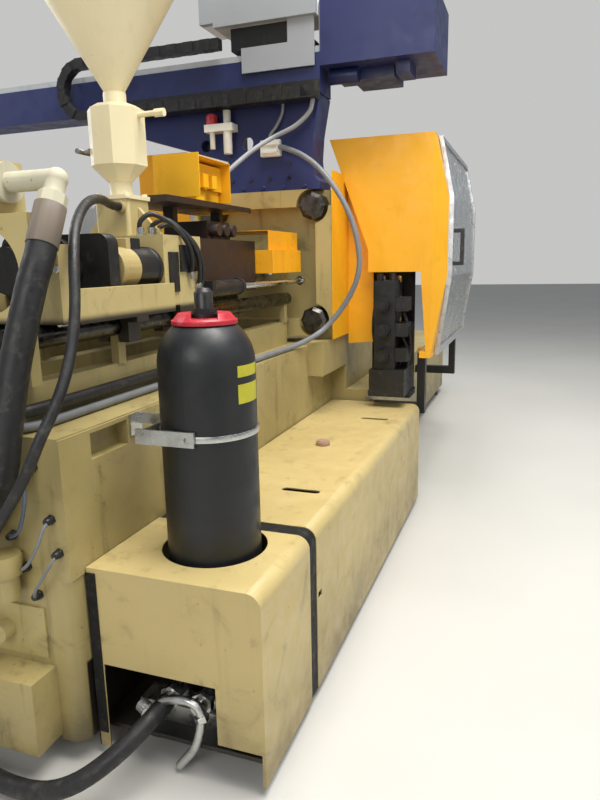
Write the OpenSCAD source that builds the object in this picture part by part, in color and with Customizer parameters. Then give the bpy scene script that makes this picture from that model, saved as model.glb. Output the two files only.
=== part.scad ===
// Hydraulic injection moulding machine with a take-out robot on its fixed platen.
// X runs along the machine, plus towards the injection end. Y plus is the rear side. Z is up.
// The origin lies on the floor under the middle of the base.

/* [Base] */
// Overall length of the base
base_len = 5000; // [4900:10:5200]
// Overall width of the base
base_w = 1430; // [1410:10:1500]
// Width of the bed under the injection unit
bed_w = 512; // [504:2:520]
// Height of the ledge along both sides of the bed
ledge_h = 830; // [800:5:840]
// Drop from the centre height to the two top rails of the bed
rail_drop = 229; // [226:1:244]
// Width over the two top rails of the bed
rail_w = 280; // [270:2:290]
// Width of the base under the clamp
clamp_base_w = 860; // [840:10:900]
// Height of the clamp end of the base
clamp_base_h = 560; // [530:5:600]
// Height of the levelling feet
foot_h = 60; // [50:2:80]
// Distance of the outer feet from the ends of the base
feet_inset = 200; // [150:10:300]
// Spacing of the feet across the machine
feet_w = 720; // [680:10:740]
// Spacing of the inner feet along the machine
feet_mid = 2000; // [1900:10:2200]
// Diameter of the anchor hole in each foot
anchor_d = 18; // [14:1:24]

/* [Tank covers] */
// Height of the tank covers
cover_h = 505; // [480:5:530]
// Gap between the tank covers and the floor
cover_gap = 25; // [15:5:40]
// Sheet thickness of the tank covers
cover_t = 4; // [3:0.5:6]
// Radius of the covers' long outer edge
cover_r = 36; // [24:2:50]
// Length of the front cover
cover_front_len = 325; // [318:1:345]
// Width of the black strip between the covers
seam_w = 55; // [40:5:70]
// Length of a hand slot
slot_len = 125; // [100:5:140]
// Width of a hand slot
slot_w = 28; // [22:1:34]

/* [Accumulator] */
// Diameter of the gas bottle
acc_d = 234; // [220:2:240]
// Height of the bottle's top, where the guard ring sits
acc_top = 1064; // [1040:2:1080]
// Distance of the bottle's axis from the end of the base
acc_from_end = 259; // [250:1:262]
// Distance of the bottle's axis from the machine's centre plane
acc_y = 498; // [493:1:503]
// Diameter of the red guard ring
ring_d = 156; // [150:2:160]

/* [Clamp] */
// Height of the screw axis above the floor
centre_h = 1194; // [1190:1:1200]
// Distance between tie bar axes
tie_gap = 512; // [505:1:520]
// Tie bar diameter
tie_d = 90; // [80:2:96]
// Width of the platens
platen_w = 690; // [680:2:710]
// Height of the platens
platen_h = 660; // [650:2:670]
// Position of the fixed platen's injection side
platen_x = 720; // [710:2:730]
// Thickness of the fixed platen
fixed_t = 200; // [190:2:210]
// Depth of the raised rim on the fixed platen's injection side
rim_t = 80; // [60:2:90]
// Thickness of the moving platen
moving_t = 170; // [150:2:180]
// Daylight between the platens with the clamp open
daylight = 850; // [820:5:880]
// Clamp stroke
clamp_stroke = 600; // [500:10:600]
// Thickness of the cylinder platen
cyl_platen_t = 220; // [200:5:240]
// Diameter of the clamp ram
ram_d = 300; // [280:5:320]
// Ejector stroke
ejector_stroke = 100; // [60:5:100]
// Diameter of the mould locating bore
locating_d = 125; // [100:5:125]

/* [Injection unit] */
// Distance of the hopper axis from the fixed platen
hopper_reach = 1091; // [1086:1:1100]
// Barrel outside diameter
barrel_d = 120; // [110:2:120]
// Screw diameter
screw_d = 50; // [40:1:55]
// Pitch of the screw flight
screw_pitch = 50; // [40:1:60]
// Injection stroke
injection_stroke = 180; // [120:5:180]
// Diameter of the carriage guide bars
guide_d = 56; // [50:1:60]
// Distance of each guide bar from the centre plane
guide_y = 135; // [130:1:138]
// Carriage stroke
carriage_stroke = 250; // [200:5:250]
// Width over the carriage side beams
carriage_w = 430; // [426:1:436]
// Diameter of the hopper's cylinder
hopper_d = 500; // [460:10:540]
// Height of the hopper's top edge
hopper_top = 2450; // [2350:10:2500]
// Width of the hopper housing
housing_w = 172; // [160:2:180]

/* [Guards] */
// Height of the guards' top edge
guard_top = 1760; // [1740:5:1780]
// Height of the guards' bottom edge
guard_bottom = 745; // [735:5:755]
// Width over the guards' fixed panels
guard_w = 1532; // [1520:2:1550]
// Length of the guards
guard_len = 1500; // [1480:10:1560]
// Length of a sliding gate
gate_len = 1080; // [1040:10:1090]
// How far the gates bulge outwards
gate_bulge = 58; // [40:2:70]
// Guard sheet thickness
guard_t = 3; // [2:0.5:4]
// Gate travel
gate_travel = 620; // [500:10:650]

/* [Take-out robot] */
// Height of the beam's underside
beam_z = 1925; // [1915:5:1945]
// Height of the beam
beam_h = 160; // [150:2:170]
// Width of the beam
beam_w = 160; // [140:5:165]
// Length of the beam from its aisle end
beam_len = 2200; // [2100:10:2400]
// Position of the beam's aisle end
beam_end = 300; // [296:1:310]
// Vertical stroke of the robot's column
lift = 700; // [600:10:710]
// Length of the end housing
end_box_len = 490; // [460:5:520]

/* [Hoses] */
// Diameter of the main hose
main_hose_d = 66; // [56:1:68]
// Diameter of the second carriage hose
carriage_hose_d = 25; // [20:1:30]
// Diameter of the robot cable
robot_cable_d = 24; // [20:1:24]
// Diameter of the hose along the bed
bed_hose_d = 30; // [26:1:32]
// Diameter of the return hose
return_hose_d = 44; // [38:1:48]

/* [Hidden] */

$fn = 48;
cream = "#d8c48a";
yellow = "#f2ac1c";
blue = "#27305f";
black = "#1c1c1e";
steel = "#b4b6b8";
grey = "#6d6f72";

// Running clearance on a radius, and the gap between faces that pass each other
fit = 0.06;
gap = 1;

// Main planes of the base
x1 = base_len / 2;
rail_h = centre_h - rail_drop;
x0 = -x1;
bed_y = bed_w / 2;
side_y = base_w / 2;
clamp_x = platen_x - 290;
arm_y = side_y - 75;
deck = foot_h;

// Tank covers
cover_y0 = bed_y + 6;
cover_x1 = x1 - 50;
seam_x1 = cover_x1 - cover_front_len;
seam_x0 = seam_x1 - seam_w;
cover_x0 = clamp_x + 20;
cover_y1 = side_y - 4;
acc_x = x1 - acc_from_end;
acc_r = acc_d / 2;
acc_base = 240;
front_open_z = 255;
front_step_z = 108;
front_step_y = cover_y1 - 120;

// Clamp
tie_r = tie_d / 2;
half_gap = tie_gap / 2;
platen_z0 = centre_h - platen_h / 2;
platen_z1 = centre_h + platen_h / 2;
fixed_x0 = platen_x - fixed_t;
plate_x1 = platen_x - rim_t;
moving_x1 = fixed_x0 - daylight;
moving_x0 = moving_x1 - moving_t;
cyl_x1 = moving_x0 - 240;
cyl_x0 = cyl_x1 - cyl_platen_t;
ram_len = clamp_stroke + 540;
cylinder_x0 = cyl_x0 - ram_len + 200;
cylinder_r = ram_d / 2 + 70;
way_t = 20;
way_w = 80;
way_y = 280;
nut_r = platen_h / 2 - half_gap - 12;
nut_t = 95;
ways_x0 = cyl_x0 - 100;

// Injection unit
hx = platen_x + hopper_reach;
block_x0 = hx - 151;
block_x1 = hx + 79;
block_w = 370;
neck_w = 120;
neck_z = centre_h + 206;
beam_x1 = block_x1 + 440;
beam_in = carriage_w / 2 - 30;
rear_x1 = beam_x1 + 60;
barrel_x0 = platen_x + 80;
barrel_x1 = hx + 60;
barrel_r = barrel_d / 2;
bore_r = screw_d / 2;
guide_z = rail_h + 75;
rail_top = rail_h - 30;
guide_r = guide_d / 2;
guide_x0 = platen_x + 40;
guide_x1 = x1 - 16;
shot_y = 122;
shot_r = 58;
shot_x1 = block_x1 + 200;
piston_x = block_x1 - 88;
piston_r = 45;
cross_x0 = shot_x1 + 10;
cross_x1 = cross_x0 + 45;
motor_r = 88;
bg_x0 = platen_x + 370;
bg_w = 260;
bg_z0 = centre_h - 99;
bg_z1 = centre_h + 96;
rod_y = 196;
rod_z = centre_h - 74;
rod_r = 11;
flange_z = neck_z + 12;
hood_x0 = platen_x + 20;
hood_x1 = bg_x0 - 6;
hood_y = 205;
hood_z0 = centre_h - 34;
hood_mid = centre_h + 61;
hood_top = centre_h + 139;
hinge_y = hood_y + 13;
housing_r = housing_w / 2;

// Guards
gy = guard_w / 2;
gx1 = fixed_x0;
gx0 = gx1 - guard_len;
gate_x1 = gx1 - 120;
gate_x0 = gate_x1 - gate_len;

// Robot
ped_x0 = fixed_x0 + 20;
ped_x1 = platen_x - 20;
beam_x0 = platen_x - beam_w;
beam_top = beam_z + beam_h;
rail_t = 26;
box_y1 = beam_end + end_box_len;
column_x = fixed_x0 - 100;
slide_gap = 0.3;

// Routes of the hoses, from the piece that each leaves to its far end
main_route = [[2433.6, 212, 1246.9], [2449.7, 212, 1212.4], [2467, 206, 1170], [2492, 195, 1089],
    [2516, 184, 1004], [2537, 175, 913], [2552, 166, 831.5], [2555, 158, 785], [2556, 142, 741],
    [2556, 118.4, 700.2], [2556, 88.1, 664.1], [2556, 74, 650]];
carriage_route = [[1883, 36, 1376], [1905, 36, 1376], [1945, 45, 1380], [1990, 64, 1383], [2045, 87, 1382],
    [2100, 112, 1376], [2160, 140, 1365], [2220, 168, 1347], [2280, 197, 1320], [2330, 222, 1286],
    [2368, 244, 1244], [2393, 259, 1198], [2412, 271, 1148], [2434, 282, 1094], [2458, 288, 1036],
    [2492, 293, 976], [2532, 292, 916], [2572, 278, 850], [2590, 250, 780], [2594, 206, 714],
    [2594, 158, 652], [2582, 108, 600], [2566, 62, 562], [2547.6, 26, 534], [2536, 10, 508.4], [2536, 10, 486.6]];
robot_route = [[2526, -100, 668], [2526, -100, 690], [2530, -99, 722], [2540, -92, 758], [2553, -76, 790],
    [2566, -50, 815], [2574, -18, 832], [2575, 18, 843], [2567, 54, 849], [2551, 88, 851], [2529, 116, 850],
    [2503, 138, 848], [2475, 153, 845], [2445, 160, 843], [2400, 162, 842.6], [2200, 162, 842.6],
    [2000, 162, 842.6], [1850, 164, 842.6], [1760, 190, 842.6], [1690, 216, 842.6], [1600, 228, 842.6],
    [1400, 232, 842.6], [1200, 238, 842.8], [1060, 242, 843.4], [960, 258, 850], [880, 292, 870],
    [820, 336, 905], [792, 388, 965], [782, 440, 1040], [780, 478, 1120], [780, 492, 1200], [780, 482, 1290],
    [779, 456, 1380], [778, 412, 1470], [775, 356, 1550], [768, 292, 1618], [758, 224, 1666],
    [744, 160, 1695], [730, 118, 1710], [718, 110, 1712], [702, 110, 1712]];
bed_route = [[2530, -46, 724], [2530, -46, 744], [2531, -42, 782], [2534, -28, 822], [2538, -4, 856],
    [2538, 28, 876], [2534, 62, 884], [2523, 96, 884], [2505, 126, 882], [2481, 148, 880], [2450, 158, 880],
    [2400, 159, 880], [2300, 159, 880], [2150, 159, 880], [2000, 159, 880], [1850, 159, 880],
    [1760, 159, 880], [1705.5, 159, 880]];
return_route = [[2420.3, 440, 165], [2444, 440, 165], [2490, 434, 160], [2540, 414, 140], [2584, 376, 108],
    [2614, 326, 74], [2628, 268, 46], [2632, 205, 30], [2630, 140, 25], [2622, 75, 25],
    [2612, 10, 29], [2598, -50, 51], [2584, -98, 92], [2573, -126, 142], [2566, -136, 188],
    [2566, -136, 206], [2566, -136, 225.7]];

// Shapes used by several pieces

// A cylinder along X from xa to xb
module bar_x(xa, xb, y, z, r, sides = 48) {
    translate([xa, y, z]) rotate([0, 90, 0]) cylinder(h = xb - xa, r = r, $fn = sides);
}

// A cylinder along Y from ya to yb
module bar_y(x, ya, yb, z, r, sides = 48) {
    translate([x, ya, z]) rotate([-90, 0, 0]) cylinder(h = yb - ya, r = r, $fn = sides);
}

// A box between two corners
module block(a, b) {
    translate(a) cube([b[0] - a[0], b[1] - a[1], b[2] - a[2]]);
}

// A slab along X whose outline is drawn with Y to the right and Z up
module slab_x(xa, xb) {
    translate([xa, 0, 0]) rotate([90, 0, 90]) linear_extrude(xb - xa) children();
}

// A rectangle with round corners about the origin
module round_rect(w, h, r) {
    hull() for (sx = [-1, 1], sy = [-1, 1])
        translate([sx * (w / 2 - r), sy * (h / 2 - r)]) circle(r, $fn = 32);
}

// A rectangle with round corners from plain parts, for outlines that keep true arcs
module arc_rect(w, h, r) {
    square([w - 2 * r, h], center = true);
    square([w, h - 2 * r], center = true);
    for (sx = [-1, 1], sy = [-1, 1]) translate([sx * (w / 2 - r), sy * (h / 2 - r)]) circle(r);
}

// The four tie bar axes, as children along X
module at_ties() {
    for (sy = [-1, 1], sz = [-1, 1]) translate([0, sy * half_gap, centre_h + sz * half_gap]) children();
}

// One hose: a ring of eight or twelve points at each route point, square to the route
function unit(v) = v / norm(v);
function heading(p, i) = unit(p[min(i + 1, len(p) - 1)] - p[max(i - 1, 0)]);
function end_heading(p, i) =
    i == 0 ? unit(p[1] - p[0]) : i == len(p) - 1 ? unit(p[i] - p[i - 1]) : heading(p, i);
function side_of(d) = unit(cross(d, abs(d[2]) > 0.9 ? [1, 0, 0] : [0, 0, 1]));
// Each ring keeps its first point as near as it can to the ring before
function carried(d, s) = unit(s - (s * d) * d);
function sides_of(p, i = 0, s = [0, 0, 0]) =
    i == len(p) ? [] :
    let (d = end_heading(p, i), v = i == 0 ? side_of(d) : carried(d, s))
    concat([v], sides_of(p, i + 1, v));

module hose(p, d, n = 10) {
    v = sides_of(p);
    points = [for (i = [0:len(p) - 1]) let (h = end_heading(p, i), w = cross(h, v[i]))
        for (k = [0:n - 1]) p[i] + d / 2 * (cos(360 * k / n) * v[i] + sin(360 * k / n) * w)];
    last = (len(p) - 1) * n;
    faces = concat(
        [[for (k = [0:n - 1]) k]],
        [for (i = [0:len(p) - 2], k = [0:n - 1])
            [i * n + k, (i + 1) * n + k, (i + 1) * n + (k + 1) % n, i * n + (k + 1) % n]],
        [[for (k = [n - 1:-1:0]) last + k]]);
    polyhedron(points, faces, convexity = 6);
}

// Base and covers

module clamp_block() {
    difference() {
        union() {
            block([x0, -clamp_base_w / 2, deck], [clamp_x, clamp_base_w / 2, clamp_base_h]);
            block([fixed_x0 - 620, -arm_y, deck], [clamp_x, clamp_base_w / 2, clamp_base_h]);
        }
        // Parts chute from between the platens to the operator side
        block([moving_x1 + 100, -arm_y - 1, 200], [fixed_x0 - 140, 225, clamp_base_h + 1]);
    }
    // Arms that carry the far end of the guards
    for (s = [-1, 1]) {
        block([gx0, s > 0 ? clamp_base_w / 2 - 1 : -gy + 50, 430], [gx0 + 50, s > 0 ? gy - 50 : 1 - clamp_base_w / 2, 480]);
        block([gx0, s > 0 ? gy - 90 : -gy + 50, 479], [gx0 + 50, s > 0 ? gy - 50 : -gy + 90, clamp_base_h]);
    }
    // Shelf and arm that carry the valve stack and the near end of the rear guard
    block([clamp_x - 150, clamp_base_w / 2 - 1, clamp_base_h - 30], [clamp_x + 8, 660, clamp_base_h]);
    block([clamp_x - 150, clamp_base_w / 2 - 1, 430], [clamp_x - 100, gy - 50, 480]);
    block([clamp_x - 150, gy - 90, 479], [clamp_x - 100, gy - 50, clamp_base_h]);
    // Two box beams that carry the platens
    for (s = [-1, 1]) {
        beam_y = s * way_y - (way_w + 20) / 2;
        block([ways_x0, beam_y, clamp_base_h - 10],
            [clamp_x, beam_y + way_w + 20, platen_z0 - way_t]);
        block([clamp_x - 1, beam_y, 690], [platen_x + 100, beam_y + way_w + 20, platen_z0 - way_t]);
    }
}

module bed_block() {
    difference() {
        union() {
            block([clamp_x - 1, -bed_y, deck], [x1 - 40, bed_y, ledge_h]);
            // End of the bed, with round corners low down and a square cover above
            translate([x1 - 80, 0, deck]) linear_extrude(490 - deck)
                arc_rect(160, bed_w, 40);
            block([x1 - 60, -bed_y, 489], [x1, bed_y, ledge_h]);
            // Side cover panel
            block([clamp_x + 900, bed_y - 1, 490], [x1, bed_y + 4, ledge_h - 4]);
        }
        // Notch at the top of the side cover
        block([x1 - 260, bed_y - 26, 752], [x1 - 110, bed_y + 5, ledge_h - 14]);
    }
}

module top_rails() {
    for (s = [-1, 1])
        block([clamp_x + 340, s > 0 ? 85 : -rail_w / 2, ledge_h - 1],
            [x1 - 42, s > 0 ? rail_w / 2 : -85, rail_top]);
    // Posts under the guide bars, the last one wider
    for (s = [-1, 1], x = [guide_x0 + 20, platen_x + 690, platen_x + 1340, x1 - 77])
        difference() {
            half = x == x1 - 77 ? 32 : 12;
            block([x, s * guide_y - half, rail_top - 1], [x + 34, s * guide_y + half, guide_z + half - 12]);
            bar_x(x - 1, x + 35, s * guide_y, guide_z, guide_r);
        }
    // Block on the ledge that the bed hose goes into
    block([platen_x + 925, 128, ledge_h - 1], [platen_x + 985, 190, ledge_h + 74]);
}

module operator_cabinet() {
    block([clamp_x + 470, -side_y + 6, deck], [x1 - 50, -bed_y + 1, 1000]);
    // Two flat doors, proud of the cabinet
    for (i = [0:1])
        block([clamp_x + 500 + i * 760, -side_y, deck + 60], [clamp_x + 1230 + i * 760, -side_y + 7, 960]);
}

module oil_tank() {
    block([cover_x0 + 20, bed_y - 1, deck], [seam_x0 - 10, cover_y1 - 30, cover_h - 35]);
    // Tray under the front cover, with a stand for the gas bottle
    block([seam_x0 - 11, bed_y - 1, deck], [cover_x1 - 30, cover_y1 - 20, deck + 12]);
    translate([acc_x, acc_y, deck + 11]) cylinder(h = acc_base - deck - 11, r = 62);
    // Filler neck up to the cap in the rear cover
    translate([cap_x, cap_y, cover_h - 36]) cylinder(h = 30, r = 22);
}

module base_frame() {
    color(cream) difference() {
        union() {
            clamp_block();
            bed_block();
            top_rails();
            operator_cabinet();
            oil_tank();
        }
        translate([cap_x, cap_y, cover_h - 60]) cylinder(h = 60, r = 16);
    }
}

module levelling_feet() {
    color(grey) for (x = [x0 + feet_inset, -feet_mid / 2, feet_mid / 2, x1 - feet_inset], s = [-1, 1])
        translate([x, s * feet_w / 2, 0]) difference() {
            union() {
                cylinder(h = foot_h * 0.4, r = 60);
                translate([0, 0, foot_h * 0.4 - 1]) cylinder(h = foot_h * 0.6 + 1, r = 34);
            }
            translate([0, 0, -1]) cylinder(h = foot_h + 2, r = anchor_d / 2);
        }
}

// An elbow on the end of the bed: a stub out of the bed and a sleeve up to the hose, tilted to the side
module end_port(p, r, tilt, rise) {
    bar_x(x1, p[0], p[1], p[2], r);
    translate(p) sphere(r = r + 1.5);
    translate(p) rotate([tilt, 0, 0]) cylinder(h = rise, r = r - 1);
}

// Box and connector plate on the end of the bed, with the ports of the end hoses
module junction_box() {
    color(cream) {
        block([x1, 0, 75], [x1 + 84, 190, 262]);
        block([x1, -150, 282], [x1 + 6, 176, 412]);
    }
    color(black) {
        for (y = [-110, -50, 10, 62]) bar_x(x1 + 5, x1 + 40, y, 345, 24);
        end_port([x1 + 36, 10, 452], carriage_hose_d / 2 + 6, 0, 32);
        end_port([x1 + 56, 30, 606], main_hose_d / 2 + 8, -45, 62);
        end_port([x1 + 30, -46, 690], bed_hose_d / 2 + 6, 0, 34);
        end_port([x1 + 26, -100, 640], robot_cable_d / 2 + 6, 0, 28);
        end_port([x1 + 66, -136, 262], return_hose_d / 2 + 4, 180, 36);
    }
    // Socket below the main hose's port
    color("#5c6068") {
        translate([x1 + 36, 108, 506]) cylinder(h = 50, r = 36);
        translate([x1 + 36, 108, 446]) cylinder(h = 61, r = 27);
        block([x1, 90, 520], [x1 + 20, 126, 548]);
    }
}

cap_x = cover_x0 + 835;
cap_y = acc_y - 20;

// Outline of the covers, drawn with Y to the right and Z up, open towards the bed
module cover_outline(inset) {
    r = cover_r - inset;
    ya = cover_y0 - (inset > 0 ? 1 : 0);
    zb = cover_gap - (inset > 0 ? 1 : 0);
    translate([ya, zb]) square([cover_y1 - inset - ya, cover_h - cover_r - zb]);
    translate([ya, zb]) square([cover_y1 - cover_r - ya, cover_h - inset - zb]);
    translate([cover_y1 - cover_r, cover_h - cover_r]) circle(r);
}

module cover_shell(xa, xb) {
    difference() {
        slab_x(xa, xb) cover_outline(0);
        slab_x(xa - 1, xb + 1) cover_outline(cover_t);
    }
}

// A hand slot with round ends, across the cover's top
module hand_slot(x) {
    for (y = [cover_y1 - 92, cover_y1 - 92 - slot_len + slot_w])
        translate([x, y, cover_h - cover_t - 5]) cylinder(h = cover_t + 10, r = slot_w / 2);
    block([x - slot_w / 2, cover_y1 - 92 - slot_len + slot_w, cover_h - cover_t - 5],
        [x + slot_w / 2, cover_y1 - 92, cover_h + 5]);
}

module tank_cover_front() {
    color(cream) difference() {
        union() {
            cover_shell(seam_x1, cover_x1);
            // Front wall, stepped at its foot
            slab_x(cover_x1 - cover_t, cover_x1) difference() {
                cover_outline(0);
                translate([cover_y0 + 28, 0]) square([front_step_y - cover_y0 - 28, front_open_z]);
                translate([cover_y0 + 28, 0]) square([cover_y1 - 8 - cover_y0 - 28, front_step_z]);
            }
        }
        translate([acc_x, acc_y, cover_h - cover_t - 5]) cylinder(h = cover_t + 10, r = acc_r + 16);
    }
}

module tank_cover_rear() {
    color(cream) difference() {
        union() {
            cover_shell(cover_x0, seam_x0);
            slab_x(cover_x0, cover_x0 + cover_t) cover_outline(0);
        }
        hand_slot(seam_x0 - 270);
        hand_slot(cover_x0 + 360);
        translate([cap_x, cap_y, cover_h - cover_t - 5]) cylinder(h = cover_t + 10, r = 24);
        // Latch notch beside the seam
        block([seam_x0 - 42, cover_y1 - cover_t - 1, 292], [seam_x0 - 12, cover_y1 + 1, 312]);
    }
}

// Black strips in the seam and along the bed
module cover_gasket() {
    color(black) {
        difference() {
            slab_x(seam_x0, seam_x1) difference() {
                offset(delta = -2) cover_outline(0);
                cover_outline(cover_t + 6);
            }
            translate([acc_x, acc_y, cover_h - 40]) cylinder(h = 80, r = acc_r + 16);
        }
        block([cover_x1 - 29, bed_y + 4, cover_gap], [cover_x1 + 2, cover_y0, 488]);
        block([cover_x1 + gap, cover_y0 - 1, cover_gap + 40], [cover_x1 + 3, cover_y0 + 26, cover_h - 12]);
    }
}

module filler_cap() {
    color("#b08a78") translate([cap_x, cap_y, 0]) {
        translate([0, 0, cover_h]) cylinder(h = 15, r = 28 - gap);
        translate([0, 0, cover_h + 14]) cylinder(h = 5, r = 22);
        translate([0, 0, cover_h - 30]) cylinder(h = 31, r = 16 - fit);
    }
}

// Accumulator

module accumulator_shell() {
    shoulder = acc_top - 92;
    neck_r = 30;
    color(black) translate([acc_x, acc_y, 0]) rotate_extrude($fn = 96) difference() {
        union() {
            translate([0, acc_base]) square([acc_r - 30, 60]);
            translate([0, acc_base + 30]) square([acc_r, shoulder - acc_base - 30]);
            translate([acc_r - 30, acc_base + 30]) circle(30);
            // Dome between the straight side and the guard ring
            intersection() {
                translate([0, shoulder]) circle(acc_r);
                translate([0, shoulder]) square([acc_r, acc_top - shoulder]);
            }
            translate([0, acc_top - 20]) square([neck_r, 44]);
        }
        translate([-acc_d, 0]) square([acc_d, 2 * acc_top]);
    }
}

module accumulator_ring() {
    color("#c0283a") translate([acc_x, acc_y, acc_top]) difference() {
        union() {
            cylinder(h = 10, r = ring_d / 2);
            translate([0, 0, 9]) cylinder(h = 17, r1 = ring_d / 2 - 2, r2 = ring_d / 2 - 16);
        }
        translate([0, 0, -1]) cylinder(h = 60, r = 30 + fit);
        // Trough between the two lobes
        translate([0, 0, 24]) rotate(28) cube([2 * ring_d, 62, 20], center = true);
    }
}

module accumulator_valve() {
    color(black) translate([acc_x, acc_y, acc_top + 24]) {
        cylinder(h = 12, r = 26, $fn = 6);
        translate([0, 0, 11]) cylinder(h = 38, r = 22);
        translate([0, 0, 49]) cylinder(h = 10, r1 = 22, r2 = 14);
    }
}

module accumulator_clamp() {
    band_r = acc_r + 4;
    color(steel) {
        // Band round the bottle
        translate([acc_x, acc_y, 803]) difference() {
            cylinder(h = 15, r = band_r, $fn = 96);
            translate([0, 0, -1]) cylinder(h = 17, r = acc_r, $fn = 96);
        }
        difference() {
            union() {
                // Flat bar in front of the bottle, its side leg and its foot on the bed
                block([acc_x + acc_r + 4 - 1, acc_y - 128, 794], [acc_x + acc_r + 11, acc_y + 26, 830]);
                block([acc_x - 60, acc_y - acc_r - 11, 794], [acc_x + acc_r + 11, acc_y - acc_r - 5, 822]);
                block([acc_x - 60, bed_y + 4, 794], [acc_x - 54, acc_y - acc_r - 5, 822]);
                block([acc_x - 60, bed_y + 4, 770], [acc_x - 10, bed_y + 9, 826]);
            }
            bar_x(acc_x + acc_r, acc_x + acc_r + 20, acc_y + 6, 812, 6);
        }
    }
}

// Elbows and pipes inside the stepped opening of the front cover
module return_fittings() {
    color(steel) {
        block([cover_x1 - 144, cover_y0 + 70, deck + 12], [cover_x1 - 78, cover_y0 + 300, deck + 60]);
        for (y = [440, 525]) {
            translate([cover_x1 - 114, y, deck + 59]) cylinder(h = 46, r = 20);
            bar_x(cover_x1 - 114, cover_x1 - 30, y, deck + 105, 20);
            translate([cover_x1 - 114, y, deck + 105]) sphere(r = 22);
            bar_x(cover_x1 - 66, cover_x1 - 48, y, deck + 105, 29, 6);
        }
        // A bent pipe along the cover's side
        bar_x(cover_x1 - 200, cover_x1 - 60, 590, 150, 9);
        translate([cover_x1 - 60, 590, 150]) sphere(r = 10);
        translate([cover_x1 - 60, 590, deck + 12]) cylinder(h = 150 - deck - 12, r = 9);
    }
}

// Clamp

module ties_holes(xa, xb, clearance) {
    at_ties() bar_x(xa, xb, 0, 0, tie_r + clearance);
}

// A rim of straight flanges, cut back in an arc round each tie bar nut
module platen_rim() {
    difference() {
        translate([0, centre_h]) round_rect(platen_w, platen_h, 34);
        translate([0, centre_h]) round_rect(platen_w - 150, platen_h - 150, 60);
        for (sy = [-1, 1], sz = [-1, 1])
            translate([sy * half_gap, centre_h + sz * half_gap]) {
                circle(nut_r + 14);
                translate([sy > 0 ? 0 : -120, sz > 0 ? 0 : -120]) square(120);
            }
    }
}

module mould_holes(face_x, dir) {
    for (y = [-140, 140], z = [-105, 105])
        bar_x(dir > 0 ? face_x - 1 : face_x - 32, dir > 0 ? face_x + 32 : face_x + 1,
            y, centre_h + z, 8);
}

module fixed_platen() {
    color(cream) difference() {
        union() {
            slab_x(fixed_x0, plate_x1) translate([0, centre_h]) arc_rect(platen_w, platen_h, 34);
            slab_x(plate_x1 - 1, platen_x) platen_rim();
            bar_x(plate_x1 - 1, platen_x - 40, 0, centre_h, 110);
            for (s = [-1, 1]) block([fixed_x0, s * way_y - way_w / 2, platen_z0 - way_t],
                [plate_x1, s * way_y + way_w / 2, platen_z0 + 1]);
        }
        ties_holes(fixed_x0 - 1, platen_x + 1, fit);
        bar_x(fixed_x0 - 1, fixed_x0 + 30, 0, centre_h, locating_d / 2);
        bar_x(fixed_x0 - 1, platen_x + 1, 0, centre_h, 55);
        mould_holes(fixed_x0, 1);
    }
}

module tie_bars() {
    color(steel) at_ties() bar_x(cyl_x0 - 80, plate_x1 + 70, 0, 0, tie_r);
}

module tie_bar_nuts() {
    color(black) {
        at_ties() difference() {
            union() {
                bar_x(plate_x1, plate_x1 + nut_t - 14, 0, 0, nut_r, 8);
                translate([plate_x1 + nut_t - 14, 0, 0]) rotate([0, 90, 0])
                    cylinder(h = 14, r1 = nut_r, r2 = nut_r - 16, $fn = 8);
            }
            bar_x(plate_x1 - 1, plate_x1 + 72, 0, 0, tie_r + fit);
        }
        at_ties() difference() {
            bar_x(cyl_x0 - 75, cyl_x0, 0, 0, nut_r - 8, 8);
            bar_x(cyl_x0 - 76, cyl_x0 + 1, 0, 0, tie_r + fit);
        }
    }
}

module moving_platen() {
    plate_t = moving_t - 70;
    color(cream) difference() {
        union() {
            slab_x(moving_x1 - plate_t, moving_x1) translate([0, centre_h])
                arc_rect(platen_w - 10, platen_h - 12, 34);
            bar_x(moving_x0, moving_x1 - plate_t + 1, 0, centre_h, ram_d / 2 + 40);
            // Ribs from the ram boss to the tie bar guides
            for (a = [45, -45]) translate([moving_x0 + 20, 0, centre_h]) rotate([a, 0, 0])
                translate([0, -370, -16]) cube([60, 740, 32]);
            at_ties() bar_x(moving_x0, moving_x1 - plate_t + 1, 0, 0, tie_r + 24);
            // Sliding shoes on the ways
            for (s = [-1, 1]) block([moving_x0 - 40, s * way_y - way_w / 2, platen_z0],
                [moving_x1 - 10, s * way_y + way_w / 2, platen_z0 + 27]);
        }
        ties_holes(moving_x0 - 1, moving_x1 + 1, fit);
        bar_x(moving_x1 - 20, moving_x1 + 1, 0, centre_h, locating_d / 2);
        bar_x(moving_x0 - 1, moving_x1 + 1, 0, centre_h, 25 + fit);
        mould_holes(moving_x1, -1);
    }
}

module cylinder_platen() {
    color(cream) difference() {
        union() {
            slab_x(cyl_x0, cyl_x1) translate([0, centre_h]) arc_rect(platen_w, platen_h, 34);
            bar_x(cylinder_x0 - 30, cyl_x0 + 1, 0, centre_h, cylinder_r);
            bar_x(cylinder_x0 - 60, cylinder_x0 - 29, 0, centre_h, cylinder_r + 20);
            bar_x(cylinder_x0 + 120, cylinder_x0 + 160, 0, centre_h, cylinder_r + 14);
            // Prefill valve on top of the cylinder
            block([cylinder_x0, -95, centre_h + cylinder_r - 40],
                [cylinder_x0 + 110, 95, centre_h + cylinder_r + 120]);
            // Saddle under the far end of the cylinder
            block([cylinder_x0 + 110, -150, clamp_base_h], [cylinder_x0 + 170, 150, centre_h - 100]);
            for (s = [-1, 1]) block([cyl_x0, s * way_y - way_w / 2, platen_z0 - way_t],
                [cyl_x1, s * way_y + way_w / 2, platen_z0 + 1]);
        }
        ties_holes(cyl_x0 - 1, cyl_x1 + 1, fit);
        bar_x(cylinder_x0, cyl_x1 + 1, 0, centre_h, ram_d / 2 + fit);
    }
}

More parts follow.
